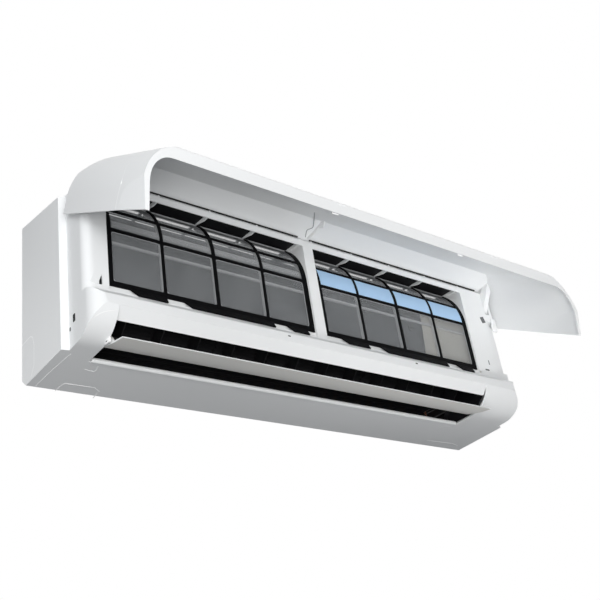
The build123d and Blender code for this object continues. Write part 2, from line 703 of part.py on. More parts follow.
# ---------------------------------------------------------------- drain pan and air outlet
STABILISER = (-161.0, 95.0)
DUCT_END = (-213.3, 40.6)
THROAT = scroll_point(SCROLL_TO)
PAN_TO = RIGHT_WALL - FIT
NOZZLE = (-184.0, 91.0)
NOZZLE_RADIUS = 6.0

with BuildPart() as drain_pan:
    slab(
        [
            (PAN_FRONT, 106),
            (PAN_FRONT, 84),
            (-160.4, 98),
            (-160.4, 106),
            (-162.4, 106),
            (-162.4, 99.5),
            (-191.5, 87.2),
            (-191.5, 106),
        ],
        LEFT_WALL + 0.5,
        PAN_TO,
    )
    # Pads under the heat exchanger, and the closed ends.
    for x in (LEFT_WALL + 20, -60.0, 60.0, PAN_TO - 20):
        slab([(-192, 86), (-192, 100), (-187, 108.2), (-172, 108.2), (-172, 94)], x, x + 3)
    for x in (LEFT_WALL + 0.5, PAN_TO - 2):
        slab([(PAN_FRONT, 84), (PAN_FRONT, 106), (-160.4, 106), (-160.4, 98)], x, x + 2)
    rod(NOZZLE, NOZZLE_RADIUS, LEFT_WALL - 18, LEFT_WALL + 2)
    rod(NOZZLE, NOZZLE_RADIUS - 2, LEFT_WALL - 19, LEFT_WALL + 6, Mode.SUBTRACT)
save(drain_pan.part, "drain_pan")

OUTLET_SPAN = OUTLET_TO - OUTLET_FROM
VANE_PITCH = (OUTLET_SPAN - 2 * DUCT_WALL) / (2 * VANES)
VANE_AT = 28.0  # from the stabiliser, down the upper wall
VANE_HOLE = VANE_PIN + RUNNING


def duct_point(along, into=0.0):
    """A point by the way down the outlet's upper wall, and into the air stream."""
    return beside(STABILISER, DUCT_END, along, into)


duct_foot = duct_point(0)
INTO_DUCT = Vector(0, duct_point(0, 1)[0] - duct_foot[0], duct_point(0, 1)[1] - duct_foot[1])


def vane_plane(x, into=0.0):
    """The plane square to a vane's pin."""
    origin = (x, *section(duct_point(VANE_AT, into))[0])
    return Plane(origin=origin, x_dir=(1, 0, 0), z_dir=INTO_DUCT)


def vane_x(index):
    """Where a vane's pin lies along the outlet, counted from the left."""
    return OUTLET_FROM + DUCT_WALL + VANE_PITCH * (index + 0.5)


with BuildPart() as outlet_duct:
    slab(plate(STABILISER, DUCT_END, -DUCT_WALL), OUTLET_FROM, OUTLET_TO)
    lower_from = (THROAT[0] - 1.6, THROAT[1] - 0.6)
    lower_to = (lip_middle[0] + LIP_RADIUS + FIT, lip_middle[1] + LIP_RADIUS - 2)
    slab(plate(lower_from, lower_to, 2.0), OUTLET_FROM, OUTLET_TO)
    ends = [STABILISER, DUCT_END, (-213.5, 38.6), (-190, 17.5), (-165, 12.5), lower_to, lower_from]
    for x in (OUTLET_FROM, OUTLET_TO - DUCT_WALL):
        slab(ends, x, x + DUCT_WALL)
    rod(LOUVER_PIVOT, LOUVER_BUSH + RUNNING, OUTLET_FROM, OUTLET_FROM + DUCT_WALL, Mode.SUBTRACT)
    rod(LOUVER_PIVOT, LOUVER_PIN + RUNNING, OUTLET_TO - DUCT_WALL, OUTLET_TO, Mode.SUBTRACT)
    # Baffle that closes the throat beyond the fan's right-hand wall.
    baffle_length = math.dist(STABILISER, lower_from)
    baffle_top = beside(STABILISER, lower_from, -1, 0)
    baffle_foot = beside(STABILISER, lower_from, baffle_length + 1, 0)
    slab(plate(baffle_top, baffle_foot, -2.0), RIGHT_WALL + SIDE_WALL + FIT, OUTLET_TO)
    for index in range(2 * VANES):
        with BuildSketch(vane_plane(vane_x(index), -DUCT_WALL - 1)) as hole:
            Circle(VANE_HOLE)
        extrude(hole.sketch, amount=DUCT_WALL + 2, mode=Mode.SUBTRACT)
save(outlet_duct.part, "outlet_duct")


# ---------------------------------------------------------------- louver and vanes
LOUVER_GAP = 1.0
LOUVER_SAG = 2.2  # how far its underside bows
with BuildPart() as louver:
    chord = math.dist(LOUVER_REAR, LOUVER_NOSE)
    start, end = OUTLET_FROM + DUCT_WALL + LOUVER_GAP, OUTLET_TO - DUCT_WALL - LOUVER_GAP
    with BuildSketch(Plane.YZ.offset(start)) as blade_outline:
        with BuildLine():
            under = [
                LOUVER_REAR,
                beside(LOUVER_REAR, LOUVER_NOSE, chord / 2, LOUVER_SAG),
                LOUVER_NOSE,
            ]
            over = [
                beside(LOUVER_REAR, LOUVER_NOSE, 1.0, -LOUVER_THICK + 1.2),
                beside(LOUVER_REAR, LOUVER_NOSE, chord / 2, LOUVER_SAG - LOUVER_THICK),
                beside(LOUVER_REAR, LOUVER_NOSE, chord - 1.0, -LOUVER_THICK + 1.2),
            ]
            ThreePointArc(*section(*under))
            ThreePointArc(*section(*over))
            Line(*section(under[0], over[0]))
            Line(*section(under[2], over[2]))
        make_face()
    extrude(blade_outline.sketch, amount=end - start)
    # Arms that carry the pins, and the pins.
    for x in (start, end - 3):
        slab(
            [
                beside(LOUVER_REAR, LOUVER_NOSE, 14, 0),
                beside(LOUVER_REAR, LOUVER_NOSE, 40, 0),
                (LOUVER_PIVOT[0] - 5, LOUVER_PIVOT[1] + 2),
                (LOUVER_PIVOT[0] - 2, LOUVER_PIVOT[1] + 5),
                (LOUVER_PIVOT[0] + 3, LOUVER_PIVOT[1] + 4),
            ],
            x,
            x + 3,
        )
    rod(LOUVER_PIVOT, LOUVER_PIN, OUTLET_FROM + FIT, start + 2)
    rod(LOUVER_PIVOT, LOUVER_PIN, end - 2, OUTLET_TO + 5)
save(louver.part, "louver")

with BuildPart() as louver_motor:
    motor_centre = (LOUVER_PIVOT[0] + 3, LOUVER_PIVOT[1] + 14)
    rod(motor_centre, 14, OUTLET_TO + FIT, OUTLET_TO + 15)
    rod(LOUVER_PIVOT, 4.5, OUTLET_TO + FIT, OUTLET_TO + 9)
    rod(LOUVER_PIVOT, LOUVER_PIN + RUNNING, OUTLET_TO + FIT, OUTLET_TO + 6, Mode.SUBTRACT)
save(louver_motor.part, "louver_motor")

VANE_OUTLINE = [(-18, 2), (14, 2), (14, 40), (-18, 44)]
VANE_THICK = 1.6
PEG_RADIUS = 1.5
PEG_FOOT = 42.0
PEG_END = 48.5

for index in range(2 * VANES):
    side = "left" if index < VANES else "right"
    x = vane_x(index)
    with BuildPart() as vane:
        slab(
            [duct_point(VANE_AT + along, into) for along, into in VANE_OUTLINE],
            x - VANE_THICK / 2,
            x + VANE_THICK / 2,
        )
        with BuildSketch(vane_plane(x, -DUCT_WALL)) as pin:
            Circle(VANE_PIN)
        extrude(pin.sketch, amount=DUCT_WALL + 4)
        with BuildSketch(vane_plane(x, PEG_FOOT)) as peg:
            with Locations((0, -LINK_ARM)):
                Circle(PEG_RADIUS)
        extrude(peg.sketch, amount=PEG_END - PEG_FOOT)
    save(vane.part, f"vane_{side}_{index % VANES + 1}")

with BuildPart() as louver_bush:
    rod(LOUVER_PIVOT, LOUVER_BUSH, OUTLET_FROM, OUTLET_FROM + DUCT_WALL)
    rod(LOUVER_PIVOT, LOUVER_BUSH + 2, OUTLET_FROM + DUCT_WALL, OUTLET_FROM + DUCT_WALL + 0.6)
    rod(LOUVER_PIVOT, LOUVER_PIN + RUNNING, OUTLET_FROM, OUTLET_FROM + DUCT_WALL + 0.6, Mode.SUBTRACT)
save(louver_bush.part, "louver_bush")

LINK_WIDTH = 9.0
LINK_THICK = 2.5
LINK_DEPTH = 44.3  # from the outlet's upper wall
SLOT = (3.8, 5.4)
SLOT_AT = -11.2  # centre of the peg's swing, along the air stream

for side, first_vane in (("left", 0), ("right", VANES)):
    low, high = vane_x(first_vane), vane_x(first_vane + VANES - 1)
    with BuildPart() as link_rod:
        with BuildSketch(vane_plane((low + high) / 2, LINK_DEPTH)) as strip:
            with Locations((0, SLOT_AT)):
                Rectangle(high - low + 16, LINK_WIDTH)
                with GridLocations(VANE_PITCH, 0, VANES, 1):
                    Rectangle(*SLOT, mode=Mode.SUBTRACT)
        extrude(strip.sketch, amount=LINK_THICK)
    save(link_rod.part, f"link_rod_{side}")


# ---------------------------------------------------------------- filters
BAR_WAYS = (110.0, 156.0)  # up the filter, to the middle of each cross bar
TABS = ((0.09, 0.25), (0.33, 0.77), (0.84, 0.955))  # hanging tabs, as parts of the width
TAB_DROP = 16.0
TAB_NORMAL = (0, -1.0, 0.6)  # square to the tabs
TAB_SLOPE = 11.0
TAB_THICK = 2.0
HEAD_BAR = 3.5
THIN_BAR = 5.5
MIDDLE_BAR = 7.0
MESH_THICK = 0.4
PAD_THICK = 1.2

for side, start in FILTER_STARTS.items():
    with BuildPart() as filter_frame:
        for cell in range(FILTER_CELLS + 1):
            if cell in (0, FILTER_CELLS):
                width = FILTER_BAR
            else:
                width = MIDDLE_BAR if cell == FILTER_CELLS / 2 else THIN_BAR
            middle = start + cell * CELL_PITCH
            low = min(max(middle - width / 2, start), start + FILTER_WIDTH - width)
            curved_strip(0, FILTER_THICK, low, low + width, 0, filter_way)
        edges = [(0, FILTER_BAR), (filter_way - HEAD_BAR, filter_way)]
        for low, high in edges + [(way - THIN_BAR / 2, way + THIN_BAR / 2) for way in BAR_WAYS]:
            curved_strip(0, FILTER_THICK, start, start + FILTER_WIDTH, low, high)
        # The finger tabs slant forward and down, over the ledge of the casing.
        tab_plane = Plane(
            origin=(0, FILTER_Y, FILTER_FOOT - MID), x_dir=(1, 0, 0), z_dir=TAB_NORMAL
        )
        with BuildSketch(tab_plane) as tabs:
            for left, right in TABS:
                low, high = start + left * FILTER_WIDTH, start + right * FILTER_WIDTH
                with BuildLine():
                    Polyline(
                        (low, 2.5),
                        (low, 0),
                        (low + TAB_SLOPE, -TAB_DROP),
                        (high - 2, -TAB_DROP),
                        (high, 2.5),
                        close=True,
                    )
                make_face()
        extrude(tabs.sketch, amount=TAB_THICK / 2, both=True)
    save(filter_frame.part, f"filter_frame_{side}")
    with BuildPart() as filter_mesh:
        low, high = start + 1.5, start + FILTER_WIDTH - 1.5
        curved_strip(FILTER_THICK, MESH_THICK, low, high, 1.5, filter_way - 1.5)
    save(filter_mesh.part, f"filter_mesh_{side}")

with BuildPart() as deodorising_strip:
    start = FILTER_STARTS["right"]
    edges = [start + FILTER_BAR]
    for cell in range(1, FILTER_CELLS):
        half = (MIDDLE_BAR if cell == FILTER_CELLS / 2 else THIN_BAR) / 2
        edges += [start + cell * CELL_PITCH - half, start + cell * CELL_PITCH + half]
    edges.append(start + FILTER_WIDTH - FILTER_BAR)
    low, high = BAR_WAYS[0] + THIN_BAR / 2 + FIT, BAR_WAYS[1] - THIN_BAR / 2 - FIT
    for x0, x1 in zip(edges[::2], edges[1::2]):
        curved_strip(FILTER_THICK - PAD_THICK, PAD_THICK, x0 + FIT, x1 - FIT, low, high)
save(deodorising_strip.part, "deodorising_strip")


# ---------------------------------------------------------------- front panel, shown open
CHEEK_BACK = -165.0
PANEL_CREST = (-281.0, HEIGHT - 70)
PANEL_FOOT = [(-213, 27), (-245, 45), (-270, 60), (-280, 66)]
PANEL_OUTLINE = [
    (CHEEK_BACK, 8),
    *PANEL_FOOT,
    (PANEL_Y, 75),
    PANEL_CREST,
    (-240, HEIGHT - 27),
    (CHEEK_BACK, HEIGHT - 30),
]
PANEL_HOLLOW = [
    (-280, 75),
    (-278.5, HEIGHT - 75),
    (-240, HEIGHT - 29.5),
    (-240, HEIGHT + 80),
    (0, HEIGHT + 80),
    (0, -55),
    (-160, 9.5),
    (-213, 30.4),
    (-245, 48.4),
    (-268.5, 62.5),
    (-276.5, 68),
]
PANEL_MOUTH = [(PANEL_Y + PANEL_LIP, -60), (PANEL_Y + PANEL_LIP, 90), (0, 90), (0, -60)]
CORNER_FROM = -190.0  # where the upright corners start to curve
MOUTH_INSET = SIDE_STEP - FIT
MOUTH_CORNER = (45.0, 54.0)
CHEEK_CREASE = (88.0, 70.0)  # heights of the cheek's crease, behind and in front
CHEEK_LEAN = 6.0  # how far the cheek leans in below the crease
PANEL_CATCHES = (LEFT_END + 400, LEFT_END + 800)
RIB_X = -25.0  # stiffening rib in the panel's head


def panel_shape(points, inset, corner=PANEL_CORNER, corner_from=CORNER_FROM, lean=CHEEK_LEAN):
    """A form with this Y-Z outline and a rounded plan, drawn in at the ends by the inset."""
    half = -LEFT_END - inset
    across, deep = corner
    with BuildPart() as shape:
        with BuildSketch(Plane.YZ.offset(LEFT_END + inset)) as outline:
            with BuildLine():
                Polyline(*section(*points), close=True)
            make_face()
            if not inset:
                fillet(outline.vertices().sort_by_distance((*section(PANEL_CREST)[0], 0))[0], 18)
        extrude(outline.sketch, amount=2 * half)
        with BuildSketch(Plane.XY.offset(-2 * HEIGHT)) as plan:
            with BuildLine():
                Polyline((0, 20), (half, 20), (half, corner_from))
                EllipticalCenterArc(
                    (half - across, corner_from), across, deep, start_angle=270, arc_size=90
                )
                Line((half - across, corner_from - deep), (0, corner_from - deep))
                mirror(about=Plane.YZ)
            make_face()
        extrude(plan.sketch, amount=4 * HEIGHT, mode=Mode.INTERSECT)
        # Each cheek leans in below its crease.
        for side in (-1, 1):
            end = side * half
            behind = Vector(end, CHEEK_BACK, CHEEK_CREASE[0] - MID)
            front = Vector(end, PANEL_Y + 27, CHEEK_CREASE[1] - MID)
            foot = Vector(end - side * lean, CHEEK_BACK, 8 - MID)
            normal = (front - behind).cross(foot - behind)
            if normal.X * side < 0:
                normal = normal * -1
            with BuildSketch(Plane(origin=behind, z_dir=normal)) as cutter:
                Rectangle(4 * HEIGHT, 4 * HEIGHT)
            extrude(cutter.sketch, amount=60, mode=Mode.SUBTRACT)
    return shape.part


def swung_open(piece):
    """The piece turned about the hinge, from shut to open."""
    return piece.rotate(Axis((0, *section(HINGE)[0]), (1, 0, 0)), -PANEL_OPEN)


inner_corner = (PANEL_CORNER[0] - PANEL_WALL, PANEL_CORNER[1] - PANEL_WALL)
hollow = panel_shape(PANEL_HOLLOW, PANEL_WALL, inner_corner)
mouth_from = PANEL_Y + PANEL_LIP + MOUTH_CORNER[1]
mouth = panel_shape(PANEL_MOUTH, MOUTH_INSET, MOUTH_CORNER, mouth_from, lean=0)

with BuildPart() as front_panel:
    add(panel_shape(PANEL_OUTLINE, 0))
    add(hollow, mode=Mode.SUBTRACT)
    add(mouth, mode=Mode.SUBTRACT)
    # Catches on the lip, and a rib in the head.
    for x in PANEL_CATCHES:
        block(x - 9, x + 9, -279, -270, 64, 70)
    head = HEIGHT - 30
    slab(
        [
            (-244, head - 3.5),
            (-279, head - 44),
            (-279, head - 52),
            (-266, head - 52),
            (-266, head - 36),
            (-254, head - 28),
            (-244, head - 15),
        ],
        RIB_X,
        RIB_X + PANEL_WALL,
    )
save(swung_open(front_panel.part), "front_panel")

ARM_BAR = (HINGE[1] - 8, HINGE[1] + 9)
HUB = 9.0
for side, direction in (("left", -1), ("right", 1)):
    inner = direction * (-LEFT_END - ARM_INSET - ARM_WIDTH)
    outer = direction * (-LEFT_END - ARM_INSET)
    low, high = min(inner, outer), max(inner, outer)
    with BuildPart() as bar:
        block(low, high, PANEL_Y, HINGE[0], *ARM_BAR)
        add(hollow, mode=Mode.INTERSECT)
    with BuildPart() as hinge_arm:
        add(bar.part)
        block(low, high, HINGE[0] - 50, HINGE[0], *ARM_BAR)
        rod(HINGE, HUB, low, high)
        rod(HINGE, HINGE_PIN, low - FIT - WALL + 0.2, high + FIT + WALL - 0.2)
    save(swung_open(hinge_arm.part), f"hinge_arm_{side}")


# ---------------------------------------------------------------- electrics
BOX_FROM, BOX_TO = MOTOR_FROM + 7, MOTOR_FROM + 87
BOX_Z = (110.0, 236.0)
BOX_FRONT = -190.0
BOX_WALL = 1.5
BOARD_THICK = 1.6
BOARD_Y = CRADLE_Y - BOX_WALL - 4
BOARD = (BOX_FROM + 6, BOX_TO - 6, 118.0, 198.0)

with BuildPart() as electrical_box:
    block(BOX_FROM, BOX_TO, BOX_FRONT, CRADLE_Y, *BOX_Z)
    block(
        BOX_FROM + BOX_WALL,
        BOX_TO - BOX_WALL,
        BOX_FRONT - 1,
        CRADLE_Y - BOX_WALL,
        BOX_Z[0] + BOX_WALL,
        BOX_Z[1] - BOX_WALL,
        Mode.SUBTRACT,
    )
    # Posts that carry the board, and the mouth for the cables.
    for x in (BOARD[0], BOARD[1] - POST):
        for z in (BOARD[2], BOARD[3] - POST):
            block(x, x + POST, BOARD_Y, CRADLE_Y - BOX_WALL, z, z + POST)
    block(BOX_FROM + 20, BOX_FROM + 50, BOX_FRONT + 8, BOX_FRONT + 24, 100, 115, Mode.SUBTRACT)
    # Bosses for the cover's screws.
    for z in COVER_SCREWS_Z:
        block(BOX_TO - 12, BOX_TO - 1, BOX_FRONT, BOX_FRONT + 12, z - 4, z + 4)
        with BuildSketch(Plane.XZ.offset(-BOX_FRONT - 10)) as hole:
            with Locations((BOX_TO - 8, z - MID)):
                Circle(SCREW_RADIUS + RUNNING)
        extrude(hole.sketch, amount=12, mode=Mode.SUBTRACT)
save(electrical_box.part, "electrical_box")

with BuildPart() as electrical_cover:
    cover_slope = 12.0
    cover_from = RIGHT_WALL - 105
    with BuildSketch(Plane.XZ.offset(-BOX_FRONT)) as face:
        with BuildLine():
            Polyline(
                (cover_from, BOX_Z[0] - MID),
                (BOX_TO + 2, BOX_Z[0] - MID),
                (BOX_TO + 2, BOX_Z[1] - MID),
                (cover_from + cover_slope, BOX_Z[1] - MID),
                close=True,
            )
        make_face()
    extrude(face.sketch, amount=BOX_WALL)
    for z in COVER_SCREWS_Z:
        with BuildSketch(Plane.XZ.offset(-BOX_FRONT)) as hole:
            with Locations((BOX_TO - 8, z - MID)):
                Circle(SCREW_RADIUS + RUNNING)
        extrude(hole.sketch, amount=BOX_WALL, mode=Mode.SUBTRACT)
save(electrical_cover.part, "electrical_cover")

with BuildPart() as control_board:
    block(BOARD[0], BOARD[1], BOARD_Y - BOARD_THICK, BOARD_Y, BOARD[2], BOARD[3])
save(control_board.part, "control_board")

BOARD_PARTS = [  # x and z from the board's corner, width, height, depth
    (3, 6, 22, 18, 16),
    (28, 5, 14, 12, 12),
    (45, 6, 10, 20, 12),
    (5, 30, 12, 24, 10),
    (22, 26, 18, 10, 8),
    (22, 42, 16, 12, 3),
    (44, 34, 12, 10, 14),
    (5, 60, 18, 8, 6),
    (28, 60, 22, 7, 8),
]
with BuildPart() as board_parts:
    face = BOARD_Y - BOARD_THICK
    for dx, dz, width, height, deep in BOARD_PARTS:
        x, z = BOARD[0] + dx, BOARD[2] + dz
        block(x, x + width, face - deep, face, z, z + height)
save(board_parts.part, "board_parts")

with BuildPart() as terminal_block:
    x0, z0 = BOX_FROM + 8, 206.0
    back = CRADLE_Y - BOX_WALL
    block(x0, x0 + 56, back - 14, back, z0, z0 + 22)
    for index in range(4):
        x = x0 + 3 + index * 13
        block(x, x + 11, back - 15, back - 8, z0 + 3, z0 + 19, Mode.SUBTRACT)
        block(x + 2, x + 9, back - 11, back - 8, z0 + 7, z0 + 15)
save(terminal_block.part, "terminal_block")

with BuildPart() as receiver_board:
    face = COLUMN_Y + WALL + 3
    x1, z1 = RECEIVER_X + RECEIVER_SIZE[0], RECEIVER_Z + RECEIVER_SIZE[1]
    block(RECEIVER_X, x1, face, face + BOARD_THICK, RECEIVER_Z, z1)
    block(RECEIVER_X + 11, RECEIVER_X + 19, face - 2.8, face, RECEIVER_Z + 16, RECEIVER_Z + 26)
save(receiver_board.part, "receiver_board")

lower_pairs = PAIRS["evaporator_lower"]
with BuildPart() as air_thermistor:
    bead_x = SLAB_TO - 130
    front = SLABS["evaporator_lower"][0][0] - SLAB_THICK / 2
    block(bead_x - 6, bead_x + 6, front - 2, front - 0.2, 176, 190)
    rod((front - 3.4, 183), 1.6, bead_x - 9, bead_x + 9)
save(air_thermistor.part, "air_thermistor")

with BuildPart() as coil_thermistor:
    clip_y, clip_z = lower_pairs[2][0]
    clip = (clip_y - TUBE_RADIUS - 2.2, clip_z)
    rod(clip, 2.0, SLAB_TO + END_PLATE + 0.6, SLAB_TO + TUBE_PROUD + 8)
save(coil_thermistor.part, "coil_thermistor")


# ---------------------------------------------------------------- pipes, hose and screws
def pipe(points, radius, bore, bend):
    """A tube along a line with rounded bends; heights from the underside."""
    path_points = [(x, y, z - MID) for x, y, z in points]
    start = Vector(*path_points[0])
    with BuildPart() as tube:
        with BuildLine() as path:
            FilletPolyline(*path_points, radius=bend)
        with BuildSketch(Plane(origin=start, z_dir=Vector(*path_points[1]) - start)) as ring:
            Circle(radius)
            Circle(bore, mode=Mode.SUBTRACT)
        sweep(ring.sketch, path=path.wires()[0])
    return tube.part


PIPE_END = LEFT_END + 380
SUCTION = 6.35
SUCTION_BORE = 5.4
SUCTION_Y, SUCTION_Z = -28.0, 45.0
LIQUID = 3.2
LIQUID_BORE = 2.4
LIQUID_Y, LIQUID_Z = -52.0, 28.0
TUBE_END = SLAB_TO + TUBE_PROUD
PIPE_X = TUBE_END + FIT + SUCTION

suction_start = PAIRS["evaporator_rear"][0][0]
suction_path = [
    (PIPE_X, suction_start[0], suction_start[1] + 5),
    (PIPE_X, suction_start[0], 170),
    (PIPE_X, SUCTION_Y, 110),
    (PIPE_X, SUCTION_Y, SUCTION_Z),
    (PIPE_END, SUCTION_Y, SUCTION_Z),
]
liquid_start = lower_pairs[0][0]
liquid_path = [
    (TUBE_END + FIT, *liquid_start),
    (PIPE_X, *liquid_start),
    (PIPE_X, LIQUID_Y, 80),
    (PIPE_X, LIQUID_Y, LIQUID_Z),
    (PIPE_END, LIQUID_Y, LIQUID_Z),
]
save(pipe(suction_path, SUCTION, SUCTION_BORE, 14), "suction_pipe")
save(pipe(liquid_path, LIQUID, LIQUID_BORE, 5), "liquid_pipe")

with BuildPart() as flare_nuts:
    nuts = ((SUCTION, 13.0, SUCTION_Y, SUCTION_Z), (LIQUID, 9.0, LIQUID_Y, LIQUID_Z))
    for radius, across, y, z in nuts:
        with BuildSketch(Plane.YZ.offset(PIPE_END - 4)) as hexagon:
            with Locations(section((y, z))[0]):
                RegularPolygon(across, 6, major_radius=False)
                Circle(radius + RUNNING, mode=Mode.SUBTRACT)
        extrude(hexagon.sketch, amount=20)
save(flare_nuts.part, "flare_nuts")

HOSE_END = PIPE_END - 40
hose_path = [
    (LEFT_WALL - 6, *NOZZLE),
    (LEFT_WALL - 34, *NOZZLE),
    (LEFT_WALL - 34, -34, 30),
    (HOSE_END, -34, 30),
]
HOSE = 8.0
HOSE_BORE = NOZZLE_RADIUS + RUNNING
save(pipe(hose_path, HOSE, HOSE_BORE, 12), "drain_hose")

with BuildPart() as cover_screws:
    for z in COVER_SCREWS_Z:
        with BuildSketch(Plane.XZ.offset(-BOX_FRONT - 8)) as shank:
            with Locations((BOX_TO - 8, z - MID)):
                Circle(SCREW_RADIUS)
        extrude(shank.sketch, amount=8 + BOX_WALL)
        with BuildSketch(Plane.XZ.offset(-BOX_FRONT + BOX_WALL)) as head:
            with Locations((BOX_TO - 8, z - MID)):
                Circle(SCREW_HEAD)
        extrude(head.sketch, amount=1.6)
    for x in SCREW_XS:
        with BuildSketch(screw_plane(x, -CAP_DEPTH - 10)) as shank:
            Circle(SCREW_RADIUS)
        extrude(shank.sketch, amount=10)
save(cover_screws.part, "cover_screws")

with BuildPart() as screw_caps:
    for x in SCREW_XS:
        with BuildSketch(screw_plane(x, -CAP_DEPTH)) as cap:
            Rectangle(*CAP_SIZE)
        extrude(cap.sketch, amount=CAP_DEPTH + 0.3)
save(screw_caps.part, "screw_caps")
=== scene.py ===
# %% [markdown]
# # The indoor unit of a split air conditioner, with its front panel swung up
#
# The CAD model gives every piece at its real size. This script loads it as a fixed frame, sets up
# the view and the light, writes the finishes, and adds the small moulded details that a
# visitor sees from a step away. Everything is in metres: X runs along the unit, Y into the
# wall, Z up, and the origin lies on the wall at the unit's middle.

# %% Load the frame
import json
import math

import bpy
from mathutils import Matrix, Vector


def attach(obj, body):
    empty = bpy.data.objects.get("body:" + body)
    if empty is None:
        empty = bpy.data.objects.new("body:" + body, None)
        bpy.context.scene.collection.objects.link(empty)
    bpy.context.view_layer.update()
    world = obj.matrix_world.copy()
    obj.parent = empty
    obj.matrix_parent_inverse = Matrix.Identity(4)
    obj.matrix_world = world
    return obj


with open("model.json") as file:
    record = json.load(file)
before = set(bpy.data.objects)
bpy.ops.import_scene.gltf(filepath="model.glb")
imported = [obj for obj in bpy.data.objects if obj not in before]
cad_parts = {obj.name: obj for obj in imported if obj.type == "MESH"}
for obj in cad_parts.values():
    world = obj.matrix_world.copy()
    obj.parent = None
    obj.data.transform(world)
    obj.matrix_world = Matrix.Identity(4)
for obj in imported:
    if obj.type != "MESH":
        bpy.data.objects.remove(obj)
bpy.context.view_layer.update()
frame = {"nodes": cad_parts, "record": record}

# %% [markdown]
# ## The camera
#
# The photograph was taken from below and from the left of the unit, a little under two
# metres away. The place and the turn come from matching the casing's corners, so the
# perspective of the long casing agrees with the picture.

# %% Camera
CAMERA_PLACE = (-1.11370, -1.35138, -0.82240)
CAMERA_TURN = (118.483, 8.058, -38.094)  # degrees about X, Y and Z
LENS = 55.95  # mm, on a 36 mm sensor

bpy.ops.object.camera_add(
    location=CAMERA_PLACE,
    rotation=[math.radians(angle) for angle in CAMERA_TURN],
)
camera = bpy.context.object
camera.name = "photo_camera"
camera.data.lens = LENS
camera.data.sensor_width = 36.0
camera.data.clip_start = 0.05
bpy.context.scene.camera = camera
print("camera", camera.name, "lens", camera.data.lens)

# %% [markdown]
# ## The stage
#
# A catalogue photograph has a plain white ground, which could be a white sheet under strong
# lamps. Here the floor and the sky are pale only for the rays that see them: from the camera, in
# a reflection or through something clear. To the rays that light the object they are dim, so
# the belly of the casing stays darker than its front.

# %% The floor's plane
FLOOR_Z = -1.9
FLOOR_SIZE = 16.0

scene = bpy.context.scene
scene.view_settings.view_transform = "Standard"

bpy.ops.object.select_all(action="DESELECT")
bpy.ops.mesh.primitive_plane_add(size=FLOOR_SIZE, location=(0, 0, FLOOR_Z))
floor = bpy.context.object
floor.name = "studio_floor"
print("floor at", FLOOR_Z)


# %% Seen and lighting shaders
def seen_mix(tree, seen, lighting):
    """A Mix Shader that gives `seen` to rays that look and `lighting` to rays that light."""
    rays = tree.nodes.new("ShaderNodeLightPath")
    looks = rays.outputs["Is Camera Ray"]
    for name in ("Is Glossy Ray", "Is Transmission Ray"):
        either = tree.nodes.new("ShaderNodeMath")
        either.operation = "MAXIMUM"
        tree.links.new(looks, either.inputs[0])
        tree.links.new(rays.outputs[name], either.inputs[1])
        looks = either.outputs[0]
    mix = tree.nodes.new("ShaderNodeMixShader")
    tree.links.new(looks, mix.inputs[0])
    tree.links.new(lighting.outputs[0], mix.inputs[1])
    tree.links.new(seen.outputs[0], mix.inputs[2])
    return mix


def coloured(tree, kind, colour, strength=None):
    """A shader node with its colour, and its strength if it glows."""
    shader = tree.nodes.new(kind)
    shader.inputs["Color"].default_value = (*colour, 1)
    if strength is not None:
        shader.inputs["Strength"].default_value = strength
    return shader


# %% Floor paint and sky
SKY_STRENGTH = 0.10

floor_paint = bpy.data.materials.new("floor_paint")
floor_paint.use_nodes = True
tree = floor_paint.node_tree
pale = tree.nodes.new("ShaderNodeAddShader")
paint = coloured(tree, "ShaderNodeBsdfDiffuse", (0.40, 0.40, 0.41))
glow = coloured(tree, "ShaderNodeEmission", (0.97, 0.98, 1.0), 0.46)
tree.links.new(paint.outputs[0], pale.inputs[0])
tree.links.new(glow.outputs[0], pale.inputs[1])
dim = coloured(tree, "ShaderNodeBsdfDiffuse", (0.16, 0.17, 0.18))
floor_mix = seen_mix(tree, pale, dim)
tree.links.new(floor_mix.outputs[0], tree.nodes["Material Output"].inputs["Surface"])
floor.data.materials.append(floor_paint)

sky = bpy.data.worlds.new("studio_sky")
scene.world = sky
sky.use_nodes = True
tree = sky.node_tree
seen = coloured(tree, "ShaderNodeBackground", (1, 1, 1), 1.0)
lit = coloured(tree, "ShaderNodeBackground", (0.93, 0.96, 1.0), SKY_STRENGTH)
sky_mix = seen_mix(tree, seen, lit)
tree.links.new(sky_mix.outputs[0], tree.nodes["World Output"].inputs["Surface"])
print("sky", SKY_STRENGTH)

# %% [markdown]
# ## The lamps
#
# The columns of the casing are the brightest in the picture, the end is cooler and the belly
# is a plain mid grey. A wide lamp stands level with the unit, in front of it, so that its
# light also reaches up under the open panel. A lamp overhead lights what faces up, and weak
# ones fill the end, the belly, the back and the inside of the panel.

